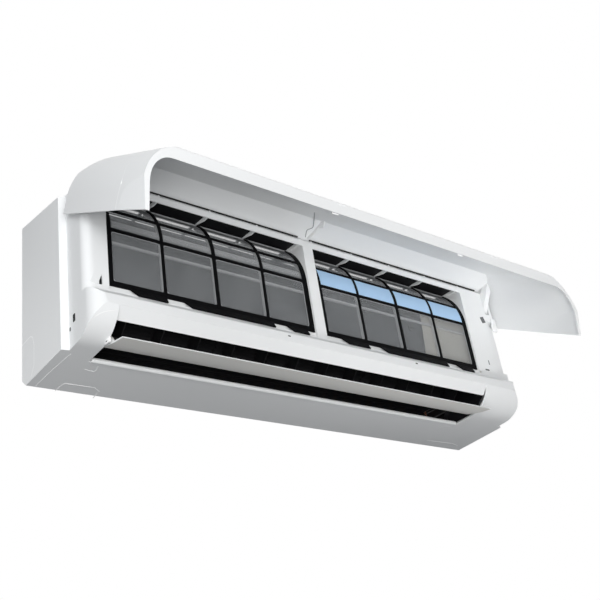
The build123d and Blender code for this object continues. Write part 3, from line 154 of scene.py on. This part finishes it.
# %% Lamps
LAMPS = {
    # name: (place, aim, size, spread in degrees, watts, colour)
    "front_softbox": ((-1.5, -2.5, -0.7), (0, -0.2, 0), (1.6, 1.6), 180, 48.0, (1.0, 0.995, 0.985)),
    "overhead": ((0.3, -1.4, 2.7), (0, -0.1, 0), (2.4, 2.4), 180, 28.0, (1.0, 1.0, 1.0)),
    "left_fill": ((-1.5, -0.9, 0.1), (-0.5, -0.15, 0), (0.8, 0.8), 180, 4.0, (0.92, 0.96, 1.0)),
    "low_fill": ((-1.4, -1.4, -1.15), (-0.3, -0.15, -0.1), (0.9, 0.9), 180, 12.0, (1.0, 1.0, 1.0)),
    "right_fill": ((2.4, 0.7, 0.5), (0.5, 0, 0), (1.4, 1.4), 180, 20.0, (1.0, 1.0, 1.0)),
    "back_fill": ((-0.3, 2.6, 0.5), (0, 0, 0), (2.0, 2.0), 180, 42.0, (1.0, 1.0, 1.0)),
    "panel_fill": ((0.38, -1.0, -1.2), (0.38, -0.37, 0.15), (0.9, 0.2), 40, 0.9, (1.0, 1.0, 1.0)),
}
for name, (place, aim, size, spread, watts, colour) in LAMPS.items():
    bpy.ops.object.light_add(type="AREA", location=place)
    lamp = bpy.context.object
    lamp.name = name
    lamp.data.shape = "RECTANGLE"
    lamp.data.size, lamp.data.size_y = size
    lamp.data.spread = math.radians(spread)
    lamp.data.energy = watts
    lamp.data.color = colour
    lamp.rotation_euler = (Vector(aim) - Vector(place)).to_track_quat("-Z", "Y").to_euler()
    print("lamp", name, watts, "W")

# %% [markdown]
# ## Writing materials as sums
#
# A node tree is easier to read as an expression. `Value` wraps a socket, and each sum or
# product on it adds one Math node. `Finish` holds a material and adds any other node from its
# type, its settings and what feeds it.


# %% Shader helpers
class Value:
    """A number that flows through a material's nodes."""

    def __init__(self, finish, socket):
        self.finish = finish
        self.socket = socket

    def maths(self, operation, *others):
        """Add one Math node that starts with this value."""
        return self.finish.node(
            "ShaderNodeMath", {"operation": operation}, dict(enumerate((self, *others)))
        )

    def __add__(self, other):
        return self.maths("ADD", other)

    __radd__ = __add__

    def __mul__(self, other):
        return self.maths("MULTIPLY", other)

    __rmul__ = __mul__

    def __sub__(self, other):
        return self.maths("SUBTRACT", other)

    def __gt__(self, other):
        return self.maths("GREATER_THAN", other)

    def __lt__(self, other):
        return self.maths("LESS_THAN", other)


class Finish:
    """A material and the nodes that make it."""

    def __init__(self, name):
        self.material = bpy.data.materials.new(name)
        self.material.use_nodes = True
        self.tree = self.material.node_tree
        self.shader = self.tree.nodes["Principled BSDF"]
        self.place = self.node("ShaderNodeTexCoord", output="Object")

    def node(self, kind, settings=None, feeds=None, output=0):
        """Add a node, set it up, feed its sockets and give one of its outputs."""
        made = self.tree.nodes.new(kind)
        for key, value in (settings or {}).items():
            setattr(made, key, value)
        for key, value in (feeds or {}).items():
            self.feed(made.inputs[key], value)
        return Value(self, made.outputs[output])

    def feed(self, socket, value):
        """Link a value to a socket, or write a plain number or colour on it."""
        if isinstance(value, Value):
            self.tree.links.new(value.socket, socket)
        else:
            socket.default_value = value

    def set(self, **values):
        """Feed the shader's sockets, with underscores for spaces."""
        for key, value in values.items():
            self.feed(self.shader.inputs[key.replace("_", " ")], value)
        return self

    def noise(self, scale, detail, stretch=(1, 1, 1)):
        """Cloudy noise on the piece's own place, stretched along the axes."""
        spread = self.node("ShaderNodeMapping", feeds={"Vector": self.place, "Scale": stretch})
        return self.node(
            "ShaderNodeTexNoise", feeds={"Vector": spread, "Scale": scale, "Detail": detail}
        )

    def blend(self, amount, low, high):
        """A colour between two colours."""
        return self.node(
            "ShaderNodeMix",
            {"data_type": "RGBA"},
            {"Factor": amount, 6: low, 7: high},
            output=2,
        )

    def along(self, axis):
        """How far a point lies along X, Y or Z, in metres."""
        return self.node("ShaderNodeSeparateXYZ", feeds={0: self.place}, output=axis)

    def scored(self, across, up, points, width):
        """A mask that is 1 within half a width of the line through some points."""
        nearest = None
        for (u0, v0), (u1, v1) in zip(points, points[1:]):
            length = math.hypot(u1 - u0, v1 - v0)
            du, dv = (u1 - u0) / length, (v1 - v0) / length
            run = (across - u0) * du + (up - v0) * dv
            side = (across - u0) * dv - (up - v0) * du
            beyond = ((run - length / 2).maths("ABSOLUTE") - length / 2).maths("MAXIMUM", 0.0)
            distance = (beyond * beyond + side * side).maths("SQRT")
            nearest = distance if nearest is None else nearest.maths("MINIMUM", distance)
        return nearest < width / 2

    def bump(self, height, strength, distance):
        """A normal that follows a height, in metres of relief."""
        return self.node(
            "ShaderNodeBump",
            feeds={"Height": height, "Strength": strength, "Distance": distance},
        )


def opaque(colour):
    """A colour with full alpha."""
    return (*colour, 1.0)


# %% [markdown]
# ## Moulded plastic
#
# Injection-moulded plastic is never quite even: the tool's fine spark texture breaks up the
# gloss, and the colour drifts a little over a large wall. Fine noise drives the bump, and slow
# noise moves the roughness and the colour by a few percent. The CAD's pieces keep their shape
# and only get this finish.


# %% Plastic
def moulded(
    name, colour, roughness=0.38, drift=0.03, grain=1400.0, relief=0.00003, shine=0.5, over=()
):
    """A moulded plastic. `over` holds (mask maker, colour) pairs painted on top."""
    finish = Finish(name)
    clouds = finish.noise(3.0, detail=3.0)
    speckle = finish.noise(grain, detail=1.0)
    darker = tuple(channel * (1 - drift) for channel in colour)
    tone = finish.blend(clouds, opaque(darker), opaque(colour))
    height = speckle
    for mask_of, top_colour in over:
        mask = mask_of(finish)
        tone = finish.blend(mask, tone, opaque(top_colour))
        height = height + mask * 3.0
    gloss = roughness - 0.04 + 0.08 * finish.noise(11.0, detail=4.0)
    finish.set(
        Base_Color=tone,
        Roughness=gloss + speckle * 0.03,
        Normal=finish.bump(height, 0.25, relief),
        Specular_IOR_Level=shine,
        IOR=1.5,
    )
    return finish.material


# %% [markdown]
# ## The knock-outs in the casing's ends
#
# A fitter breaks out a corner of the casing where the pipes leave it to the side. A thin groove
# marks it. It is shallow enough to be a line in the finish: a mask measures how far a point
# lies from the line, and lifts the colour and the bump there. The lifted colour is a painted
# highlight, the light that the groove's edge catches.

# %% Knock-out lines
HALF_WIDTH = 0.525
HALF_HEIGHT = 0.160
KNOCK_OUT = [  # millimetres from the wall, and above the underside
    (0.4, 82.6),
    (-33.0, 84.5),
    (-42.0, 79.0),
    (-47.2, 62.1),
    (-46.7, 25.7),
    (-35.0, 9.3),
]


SKIN = 0.0006  # how deep under the end wall its finish still counts
GROOVE_WIDTH = 0.0016


def end_lines(finish):
    """The groove round the knock-out, on the casing's two end walls."""
    points = [(out / 1000, up / 1000 - HALF_HEIGHT) for out, up in KNOCK_OUT]
    on_the_end = finish.along("X").maths("ABSOLUTE") > HALF_WIDTH - SKIN
    return finish.scored(finish.along("Y"), finish.along("Z"), points, GROOVE_WIDTH) * on_the_end


# The crease line on the panel's end, coloured as a painted highlight.
PANEL_LINE = [(-334.9, 154.9), (-345.1, 174.0), (-353.4, 188.5)]
PANEL_SKIN = 0.0012
PANEL_LINE_WIDTH = 0.0014


def panel_line(finish):
    """The foot of the crease on the panel's end, where it fades into the flat wall, for a painted
    highlight.
    """
    points = [(out / 1000, up / 1000 - HALF_HEIGHT) for out, up in PANEL_LINE]
    on_the_end = finish.along("X").maths("ABSOLUTE") > HALF_WIDTH - PANEL_SKIN
    line = finish.scored(finish.along("Y"), finish.along("Z"), points, PANEL_LINE_WIDTH)
    return line * on_the_end


print(len(KNOCK_OUT), "points on the knock-out's line")

# %% [markdown]
# ## The filters' head bar and the louver's lip
#
# The filter's frame is black except for its pale head. The louver's front edge and left end are
# whiter than its underside. Both are masks on the place of a point.

# %% Two-colour plastics
HEAD_FROM = 0.1450  # up, in metres
LIP_FROM = -0.2268  # out from the wall
LOUVER_END = -0.4627  # along the unit


def filter_head(finish):
    """The bar along the filter's head."""
    return finish.along("Z") > HEAD_FROM


def louver_lip(finish):
    """The louver's front edge and its left end."""
    front = finish.along("Y") < LIP_FROM
    return front.maths("MAXIMUM", finish.along("X") < LOUVER_END)


# %% [markdown]
# ## Metals
#
# Drawn tube, plated sheet and turned brass all show fine lines from their making. The same
# noise, stretched along the lines, moves the roughness and the bump.


# %% Metals
def brushed(name, colour, roughness, along=(1, 1, 1)):
    """A metal with fine drawn lines."""
    finish = Finish(name)
    lines = finish.noise(220.0, detail=3.0, stretch=along)
    patches = finish.noise(9.0, detail=4.0)
    darker = tuple(channel * 0.86 for channel in colour)
    finish.set(
        Base_Color=finish.blend(patches, opaque(darker), opaque(colour)),
        Roughness=roughness - 0.06 + 0.16 * lines,
        Metallic=1.0,
        Normal=finish.bump(lines, 0.2, 0.00004),
    )
    return finish.material


FIN_PITCH = 0.0014


def fins(name):
    """The edges of close-set aluminium fins, one every 1.4 mm along X."""
    finish = Finish(name)
    ridge = (finish.along("X") * (2 * math.pi / FIN_PITCH)).maths("SINE") * 0.5 + 0.5
    bent = finish.noise(28.0, detail=3.0, stretch=(1, 1, 0.4))
    shade = (ridge * 0.45 + bent * 0.55).maths("MINIMUM", 1.0)
    finish.set(
        Base_Color=finish.blend(shade, opaque((0.030, 0.032, 0.036)), opaque((0.17, 0.18, 0.19))),
        Roughness=0.42 + 0.2 * bent,
        Metallic=0.55,
        Normal=finish.bump(ridge, 0.5, 0.0004),
    )
    return finish.material


# %% [markdown]
# ## The filters' mesh
#
# The threads of the mesh are under a millimetre apart, far finer than a pixel, so they aren't
# modelled. Two sine waves cross to give the weave, which moves the alpha between thread and gap,
# and what lies behind the filter shows through. The photograph sees the curved head of the mesh
# nearly edge on, which closes its gaps. A mask by height stands in for this, from every side.

# %% Mesh
THREAD_PITCH = 0.0011
MESH_HEAD_FROM = 0.125  # up, in metres


def woven_mesh(name):
    """A filter's mesh: threads 1.1 mm apart, see-through between them."""
    finish = Finish(name)
    pitch = 2 * math.pi / THREAD_PITCH
    weave = (finish.along("X") * pitch).maths("SINE").maths(
        "MAXIMUM", (finish.along("Z") * pitch).maths("SINE")
    )
    threads = weave * 0.5 + 0.5
    dust = finish.noise(14.0, detail=5.0)
    head = finish.along("Z") > MESH_HEAD_FROM
    finish.set(
        Base_Color=finish.blend(dust, opaque((0.20, 0.21, 0.22)), opaque((0.34, 0.35, 0.36))),
        Roughness=0.6,
        Alpha=0.17 + 0.17 * threads + 0.1 * dust + 0.35 * head,
        Normal=finish.bump(threads, 0.3, 0.0002),
    )
    return finish.material


# %% The boards
def printed_board(name):
    """Green laminate with the faint lines of its tracks."""
    finish = Finish(name)
    tracks = finish.node(
        "ShaderNodeTexVoronoi",
        {"distance": "MANHATTAN", "feature": "F1"},
        {"Vector": finish.place, "Scale": 160.0},
    )
    finish.set(
        Base_Color=finish.blend(tracks, opaque((0.02, 0.14, 0.06)), opaque((0.05, 0.24, 0.11))),
        Roughness=0.35 + 0.2 * tracks,
        Normal=finish.bump(tracks, 0.2, 0.0001),
    )
    return finish.material


# %% The finishes of this unit
WHITE = (0.84, 0.85, 0.855)
# A painted highlight: the light that the edge of a groove or a crease catches.
GROOVE_HIGHLIGHT = (0.97, 0.98, 0.98)  # an edge that catches the light
finishes = {
    # The knock-out's groove on the casing's ends gets a painted highlight.
    "casing": moulded(
        "casing_white", WHITE, roughness=0.42, shine=0.25, over=[(end_lines, GROOVE_HIGHLIGHT)]
    ),
    "panel": moulded(
        "panel_white",
        (0.85, 0.86, 0.865),
        roughness=0.34,
        shine=0.3,
        # The crease line on the panel's end gets a painted highlight.
        over=[(panel_line, GROOVE_HIGHLIGHT)],
    ),
    "filter_frame": moulded(
        "filter_black",
        (0.0025, 0.0025, 0.003),
        roughness=0.5,
        shine=0.05,
        over=[(filter_head, (0.42, 0.43, 0.44))],
    ),
    "filter_mesh": woven_mesh("filter_mesh_grey"),
    "pad": moulded(
        "pad_blue", (0.42, 0.62, 0.86), roughness=0.75, drift=0.08, grain=700.0, relief=0.0002
    ),
    "fins": fins("fin_aluminium"),
    "copper": brushed("copper_tube", (0.72, 0.36, 0.22), 0.32),
    "nuts": brushed("turned_brass", (0.72, 0.54, 0.26), 0.28),
    "steel_plate": brushed("plated_sheet", (0.52, 0.53, 0.54), 0.42),
    "steel": brushed("bright_steel", (0.60, 0.61, 0.62), 0.25, along=(0.1, 1, 1)),
    "chassis": moulded("chassis_black", (0.010, 0.010, 0.011), roughness=0.6, shine=0.3),
    "duct": moulded("duct_black", (0.004, 0.004, 0.005), roughness=0.55, shine=0.2),
    "vanes": moulded("vane_black", (0.007, 0.007, 0.008), roughness=0.5, shine=0.3),
    "louver": moulded(
        "louver_grey", (0.79, 0.78, 0.74), roughness=0.42, over=[(louver_lip, (0.84, 0.85, 0.85))]
    ),
    "fan": moulded("fan_black", (0.005, 0.005, 0.006), roughness=0.6, shine=0.2),
    "rubber": moulded("soft_rubber", (0.012, 0.012, 0.012), roughness=0.7, grain=500.0, shine=0.2),
    "bearing": brushed("sintered_bronze", (0.50, 0.36, 0.18), 0.5),
    "motor": brushed("motor_can", (0.50, 0.51, 0.52), 0.38),
    "box": moulded("box_cream", (0.72, 0.71, 0.66), roughness=0.5),
    "box_cover": moulded("box_cover_beige", (0.95, 0.92, 0.83), roughness=0.5),
    "board": printed_board("board_green"),
    "parts": moulded("parts_black", (0.03, 0.03, 0.035), roughness=0.4),
    "sensor": moulded("sensor_black", (0.02, 0.02, 0.02), roughness=0.35),
}
for entry in frame["record"]["subparts"]:
    node = frame["nodes"][entry["node"]]
    for slot in node.material_slots:
        slot.material = finishes[entry["material_slot"]]
print(len(finishes), "finishes")

# %% Finishes of the added details
finishes["rim"] = moulded("rim_grey", (0.34, 0.35, 0.36), roughness=0.5)
# Dark grey for holes, slots and marks: painted shade on flat plates, so that they read as openings.
finishes["hole_shade"] = moulded("hole_shade_grey", (0.12, 0.125, 0.13), roughness=0.6)
# A painted shadow line along the step inside the panel.
finishes["shade"] = moulded("step_shadow_grey", (0.30, 0.31, 0.32), roughness=0.5)
# Pale white for the bumpers and the bearing block. The same finish gives the painted highlight of
# the crease and belly lines.
finishes["bumper"] = moulded("bumper_and_highlight_white", (0.93, 0.93, 0.93), roughness=0.5)

# %% [markdown]
# ## Making small moulded details
#
# The casing carries flat tabs and covers, and dark strips of painted shade, that are only a
# millimetre or two thick. Each is a plane shaped as by hand: resized, its corners bevelled round,
# pushed out by an extrude, and its edges softened by a Bevel modifier. `place_of` turns the
# millimetres of the CAD, counted from the left end, the wall and the underside, into the frame's
# metres.


# %% Plates
SMOOTH_UNDER = 35  # degrees between faces


def place_of(across, out, up):
    """A point in metres from millimetres along the unit, from the wall and above its underside."""
    return Vector((across / 1000 - HALF_WIDTH, out / 1000, up / 1000 - HALF_HEIGHT))


def keep(piece, body, finish_name, edge=0.0):
    """Soften a finished piece's edges, give it its finish and let it ride on a body."""
    if edge:
        bevel = piece.modifiers.new("edges", "BEVEL")
        bevel.width = edge
        bevel.segments = 2
        bevel.limit_method = "ANGLE"
        bpy.ops.object.modifier_apply(modifier=bevel.name)
    bpy.ops.object.shade_smooth_by_angle(angle=math.radians(SMOOTH_UNDER))
    piece.data.materials.append(finishes[finish_name])
    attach(piece, body)
    return piece


def plate(name, middle, size, thick, facing=(0, -1, 0), upward=(0, 0, 1), corner=0.0, ring=0.0):
    """A flat plate whose back is centred on a point, or with `ring` only a band round its edge."""
    bpy.ops.object.select_all(action="DESELECT")
    bpy.ops.mesh.primitive_plane_add(size=1.0)
    piece = bpy.context.object
    piece.name = name
    bpy.ops.object.mode_set(mode="EDIT")
    bpy.ops.mesh.select_all(action="SELECT")
    bpy.ops.transform.resize(value=(size[0] / 1000, size[1] / 1000, 1))
    if corner:
        bpy.ops.mesh.bevel(offset=corner / 1000, segments=4, affect="VERTICES")
        bpy.ops.mesh.select_all(action="SELECT")
    if ring:
        bpy.ops.mesh.inset(thickness=ring / 1000)
        bpy.ops.mesh.delete(type="FACE")
        bpy.ops.mesh.select_all(action="SELECT")
    bpy.ops.mesh.extrude_region_move(TRANSFORM_OT_translate={"value": (0, 0, thick / 1000)})
    bpy.ops.mesh.select_all(action="SELECT")
    bpy.ops.mesh.normals_make_consistent(inside=False)
    bpy.ops.object.mode_set(mode="OBJECT")
    normal = Vector(facing).normalized()
    up = (Vector(upward) - normal * Vector(upward).dot(normal)).normalized()
    turn = Matrix((up.cross(normal), up, normal)).transposed().to_4x4()
    piece.matrix_world = Matrix.Translation(place_of(*middle)) @ turn
    bpy.ops.object.transform_apply(location=True, rotation=True, scale=True)
    return piece


# %% [markdown]
# ## The foam strips behind the filters' heads
#
# Under the casing's top, above each cell of the filters, a black strip paints the shade of the
# dark interior seen up through the gap. The strips show as black slots between the white ribs.

# %% Shade strips
FILTER_STARTS = {"left": 55.0, "right": 511.0}
CELL_PITCH = 107.5
CELLS = 4
TOP_SLOPE = 6 / 204  # the casing's top rises this much towards the wall
TOP_OUT = 204  # where the front of the casing's top lies
TOP_UP = 311.4  # the underside of the top there
STRIP_OUT = 179  # the middle of a strip
STRIP_DEPTH = 50

for side, start in FILTER_STARTS.items():
    for cell in range(CELLS):
        middle = start + (cell + 0.5) * CELL_PITCH
        under_top = TOP_UP + (TOP_OUT - STRIP_OUT) * TOP_SLOPE
        strip = plate(
            f"head_shade_strip_{side}_{cell + 1}",
            (middle, -STRIP_OUT, under_top),
            (CELL_PITCH - 4, STRIP_DEPTH),
            1.2,
            facing=(0, TOP_SLOPE, -1),
            upward=(0, 1, 0),
            corner=1.0,
        )
        keep(strip, "housing", "duct", edge=0.0002)
print(2 * CELLS, "painted shade strips")

# %% [markdown]
# ## The black strips along the casing's head
#
# Two black strips in the rubber finish lie along the front of the casing's top, one for each half
# of the panel. They are painted shade: the dark of the gap that the panel leaves.

# %% Gap shade strips
GAP_SHADE_STRIPS = {"left": (58, 478), "right": (507, 1000)}  # where each starts and ends
GAP_STRIP_OUT = -206.2
GAP_STRIP_UP = 315.3
GAP_STRIP_THICK = 2.4

for side, (start, end) in GAP_SHADE_STRIPS.items():
    middle = ((start + end) / 2, GAP_STRIP_OUT, GAP_STRIP_UP)
    gap_strip = plate(
        f"gap_shade_strip_{side}", middle, (end - start, GAP_STRIP_THICK), GAP_STRIP_THICK, corner=0.8
    )
    keep(gap_strip, "housing", "rubber", edge=0.0004)
    print(gap_strip.name, end - start, "mm")

# %% [markdown]
# ## The filters' rims
#
# The mesh of each lower cell ends in a thin pale rim inside the black frame, with rounded
# corners. It is the same plate with its middle taken out, on the front of the mesh.

# %% Mesh rims
BAR_HALVES = [0, 2.75, 3.5, 2.75]  # half the width of the bar before each cell but the first
MESH_FRONT = -202.6
FILTER_FOOT = 106.0
CELL_FOOT = FILTER_FOOT + 10.0
CELL_HEAD = FILTER_FOOT + 107.25
END_BAR = 10.0  # the frame's bars at its two ends

for side, start in FILTER_STARTS.items():
    for cell in range(CELLS):
        before = END_BAR if cell == 0 else BAR_HALVES[cell]
        after = END_BAR if cell == CELLS - 1 else BAR_HALVES[cell + 1]
        low = start + cell * CELL_PITCH + before
        high = start + (cell + 1) * CELL_PITCH - after
        rim = plate(
            f"mesh_rim_{side}_{cell + 1}",
            ((low + high) / 2, MESH_FRONT, (CELL_FOOT + CELL_HEAD) / 2),
            (high - low - 0.8, CELL_HEAD - CELL_FOOT - 0.8),
            0.7,
            corner=6.0,
            ring=1.0,
        )
        keep(rim, f"filter_{side}", "rim")
print(2 * CELLS, "rims")

# %% [markdown]
# ## Details on the casing's front
#
# Beside the filters the casing has a small tab next to a catch hole, a slot and a screw hole in
# the step at its left end, and short marks where hooks hold the front. At the right end a cover
# plate hides the foot of the hinge. Pale ones are plates of the casing's own plastic. Holes,
# slots and marks are dark plates set flush: painted shade, so that they read as openings.

# %% Tabs, slots and hooks
FRONT = (0, -1, 0)
LEFT = (-1, 0, 0)
BROW = (0, -1, 0.06)
FRONT_DETAILS = {
    # name: (middle, size, thickness, facing, upward, corner, finish)
    # Each dark plate here paints the shade inside a hole, a slot or a mark.
    "catch_tab": ((31.0, -208.8, 111.2), (13, 21), 0.9, FRONT, (0.36, 0, 1), 0.8, "casing"),
    "catch_hole_shade": ((39.5, -206.2, 109.5), (12, 24), 0.2, FRONT, (0, 0, 1), 0.5, "duct"),
    "strip_tab": ((2.6, -144.6, 37), (4.6, 26), 1.6, (-0.19, -0.98, 0), (0, 0, 1), 1.0, "casing"),
    "step_slot_shade": ((13.1, -166.5, 56.5), (8, 14), 0.2, LEFT, (0, 0, 1), 1.5, "duct"),
    "step_screw_hole_shade": ((13.1, -152.5, 42.5), (5, 7), 0.2, LEFT, (0, 0, 1), 2.0, "hole_shade"),
    "hook_mark_shade_right": ((970.5, -208.9, 108.3), (13, 3.6), 0.3, FRONT, (0, 0, 1), 1.0, "hole_shade"),
    "hook_slot_shade_right": ((982.3, -208.9, 128), (2.6, 11), 0.3, FRONT, (0, 0, 1), 0.8, "hole_shade"),
    "brow_mark_shade_left": ((396.8, -231.2, 68.2), (6, 2.4), 0.3, BROW, (0, 0, 1), 0.8, "duct"),
    "brow_mark_shade_right": ((718.6, -231.1, 69.9), (6, 2.4), 0.3, BROW, (0, 0, 1), 0.8, "duct"),
    "hinge_cover": ((1034, -209.2, 230), (16, 34), 2.2, FRONT, (0.10, 0, 1), 4.0, "casing"),
    "hinge_hole_shade": ((1000, -208.9, 238), (13, 15), 0.3, FRONT, (-0.35, 0, 1), 1.5, "hole_shade"),
}
for name, (middle, size, thick, facing, upward, corner, finish_name) in FRONT_DETAILS.items():
    detail = plate(name, middle, size, thick, facing, upward, corner)
    keep(detail, "housing", finish_name, edge=0.0003 if thick > 1 else 0.0)
print(len(FRONT_DETAILS), "details on the front")

# %% The louver's bearing block
block = plate("louver_bearing_block", (58.6, -190.5, 14.5), (15, 13), 3.0, LEFT, corner=3.0)
keep(block, "housing", "bumper", edge=0.0005)
# A dark dot on the block: painted shade.
dot = plate("louver_bearing_dot_shade", (55.5, -188.5, 12.5), (3.2, 3.2), 0.3, LEFT, corner=1.2)
keep(dot, "housing", "duct")
print(block.name, dot.name)

# %% [markdown]
# ## Bumpers under the panel's lip
#
# Two soft white bumpers sit under the lip of the panel, so that it closes without a knock.

# %% Bumpers
for number, across in enumerate((383.0, 700.0), start=1):
    bumper = plate(
        f"lip_bumper_{number}",
        (across, -412.6, 215.9),
        (15, 4.5),
        2.4,
        facing=(0, 0.49, -0.87),
        upward=(0, 0.87, 0.49),
        corner=2.2,
    )
    keep(bumper, "panel", "bumper", edge=0.0006)
print("2 bumpers")

# %% [markdown]
# ## Crease lines
#
# Where two faces of the plastic meet at a shallow angle, the edge catches the light in a fine line.
# A pale bead paints this highlight: a curve through a few points on the surface, given a round
# section and made a mesh. Half of it is sunk in the casing. A grey bead paints the shadow line
# along the step inside the panel.


# %% Beads
def bead(name, points, radius, body, finish_name, smooth=True):
    """A fine round line through some points, in the CAD's millimetres."""
    bpy.ops.object.select_all(action="DESELECT")
    bpy.ops.curve.primitive_nurbs_path_add()
    line = bpy.context.object
    line.name = name
    line.data.splines.clear()
    spline = line.data.splines.new("NURBS" if smooth else "POLY")
    spline.points.add(len(points) - 1)
    for point, place in zip(spline.points, points):
        point.co = (*place_of(*place), 1)
    if smooth:
        spline.order_u = 3
        spline.use_endpoint_u = True
    line.data.bevel_depth = radius / 1000
    line.data.bevel_resolution = 2
    line.data.use_fill_caps = True
    bpy.ops.object.convert(target="MESH")
    return keep(bpy.context.object, body, finish_name)


# The pale beads along these creases are painted highlights.
PANEL_CREASE = [
    (1.0, -353.4, 188.5),
    (3.8, -356.4, 201.2),
    (10.0, -356.5, 220.3),
    (20.5, -350.8, 243.2),
    (39.1, -332.0, 274.6),
]
CHEEK_LINE = [
    (14.1, -211.0, 27.0),
    (19.9, -218.3, 33.1),
    (27.6, -222.8, 39.0),
    (35.3, -225.2, 42.6),
    (44.8, -226.9, 45.6),
    (56.3, -228.4, 48.6),
]
# The step inside the panel, along which a grey bead paints the shadow line.
PANEL_STEP_SHADOW = [
    (439.4, -305.5, 301.4),
    (474.5, -266.4, 323.5),
    (488.3, -247.7, 324.9),
    (493.4, -239.1, 323.4),
    (489.8, -233.8, 322.4),
    (485.3, -229.7, 321.7),
    (489.4, -221.0, 320.1),
    (495.5, -211.0, 318.3),
]
# The panel's crease: a painted highlight.
bead("panel_crease", PANEL_CREASE, 0.5, "panel", "bumper")
# A grey bead that paints the shadow along the panel's step.
bead("panel_step_shadow", PANEL_STEP_SHADOW, 0.9, "panel", "shade")
# The cheek's crease: a painted highlight.
bead("cheek_crease", CHEEK_LINE, 0.5, "housing", "bumper")
print(len(PANEL_CREASE) + len(CHEEK_LINE), "points on the creases")

# %% [markdown]
# ## Knock-out lines and notches in the belly
#
# The belly has the same knock-outs as the ends, and small notches near the outlet's corners,
# where a screwdriver opens the front. These lines stand a little proud, so they are beads too,
# in the pale finish that paints the highlight along them.

# %% Belly lines
BELLY_OUT = -34  # where the belly's height was read
BELLY_UP = 3.35
BELLY_SLOPE = 0.0408  # the belly rises this much for each millimetre towards the front
BELLY_RADIUS = 0.7  # any thicker, and the beads pass below the casing


def belly(across, out):
    """A point on the belly's surface, from its places along the unit and out from the wall."""
    return (across, out, BELLY_UP + BELLY_SLOPE * (BELLY_OUT - out))


BELLY_LINES = {
    "knock_out_left": [
        (52.7, -11.8),
        (54.4, -38),
        (58, -42.3),
        (110, -42.8),
        (123.3, -32.8),
        (125.4, -6.8),
    ],
    "knock_out_right": [(920.9, -39.3), (1000, -42.0), (1022, -36), (1036.7, -16)],
    "notch_left": [(63.6, -99), (72, -95.8), (82, -96), (83.5, -101), (80, -113.5)],
    "notch_right": [(900, -100), (901, -111), (907, -114), (918, -114)],
    "edge_left": [(15.5, -20), (16.5, -80), (20, -138)],
}
for name, points in BELLY_LINES.items():
    on_the_belly = [belly(*point) for point in points]
    # Pale beads: painted highlights along the belly's lines.
    bead(f"line_{name}", on_the_belly, BELLY_RADIUS, "housing", "bumper", smooth=False)
print(len(BELLY_LINES), "lines on the belly")
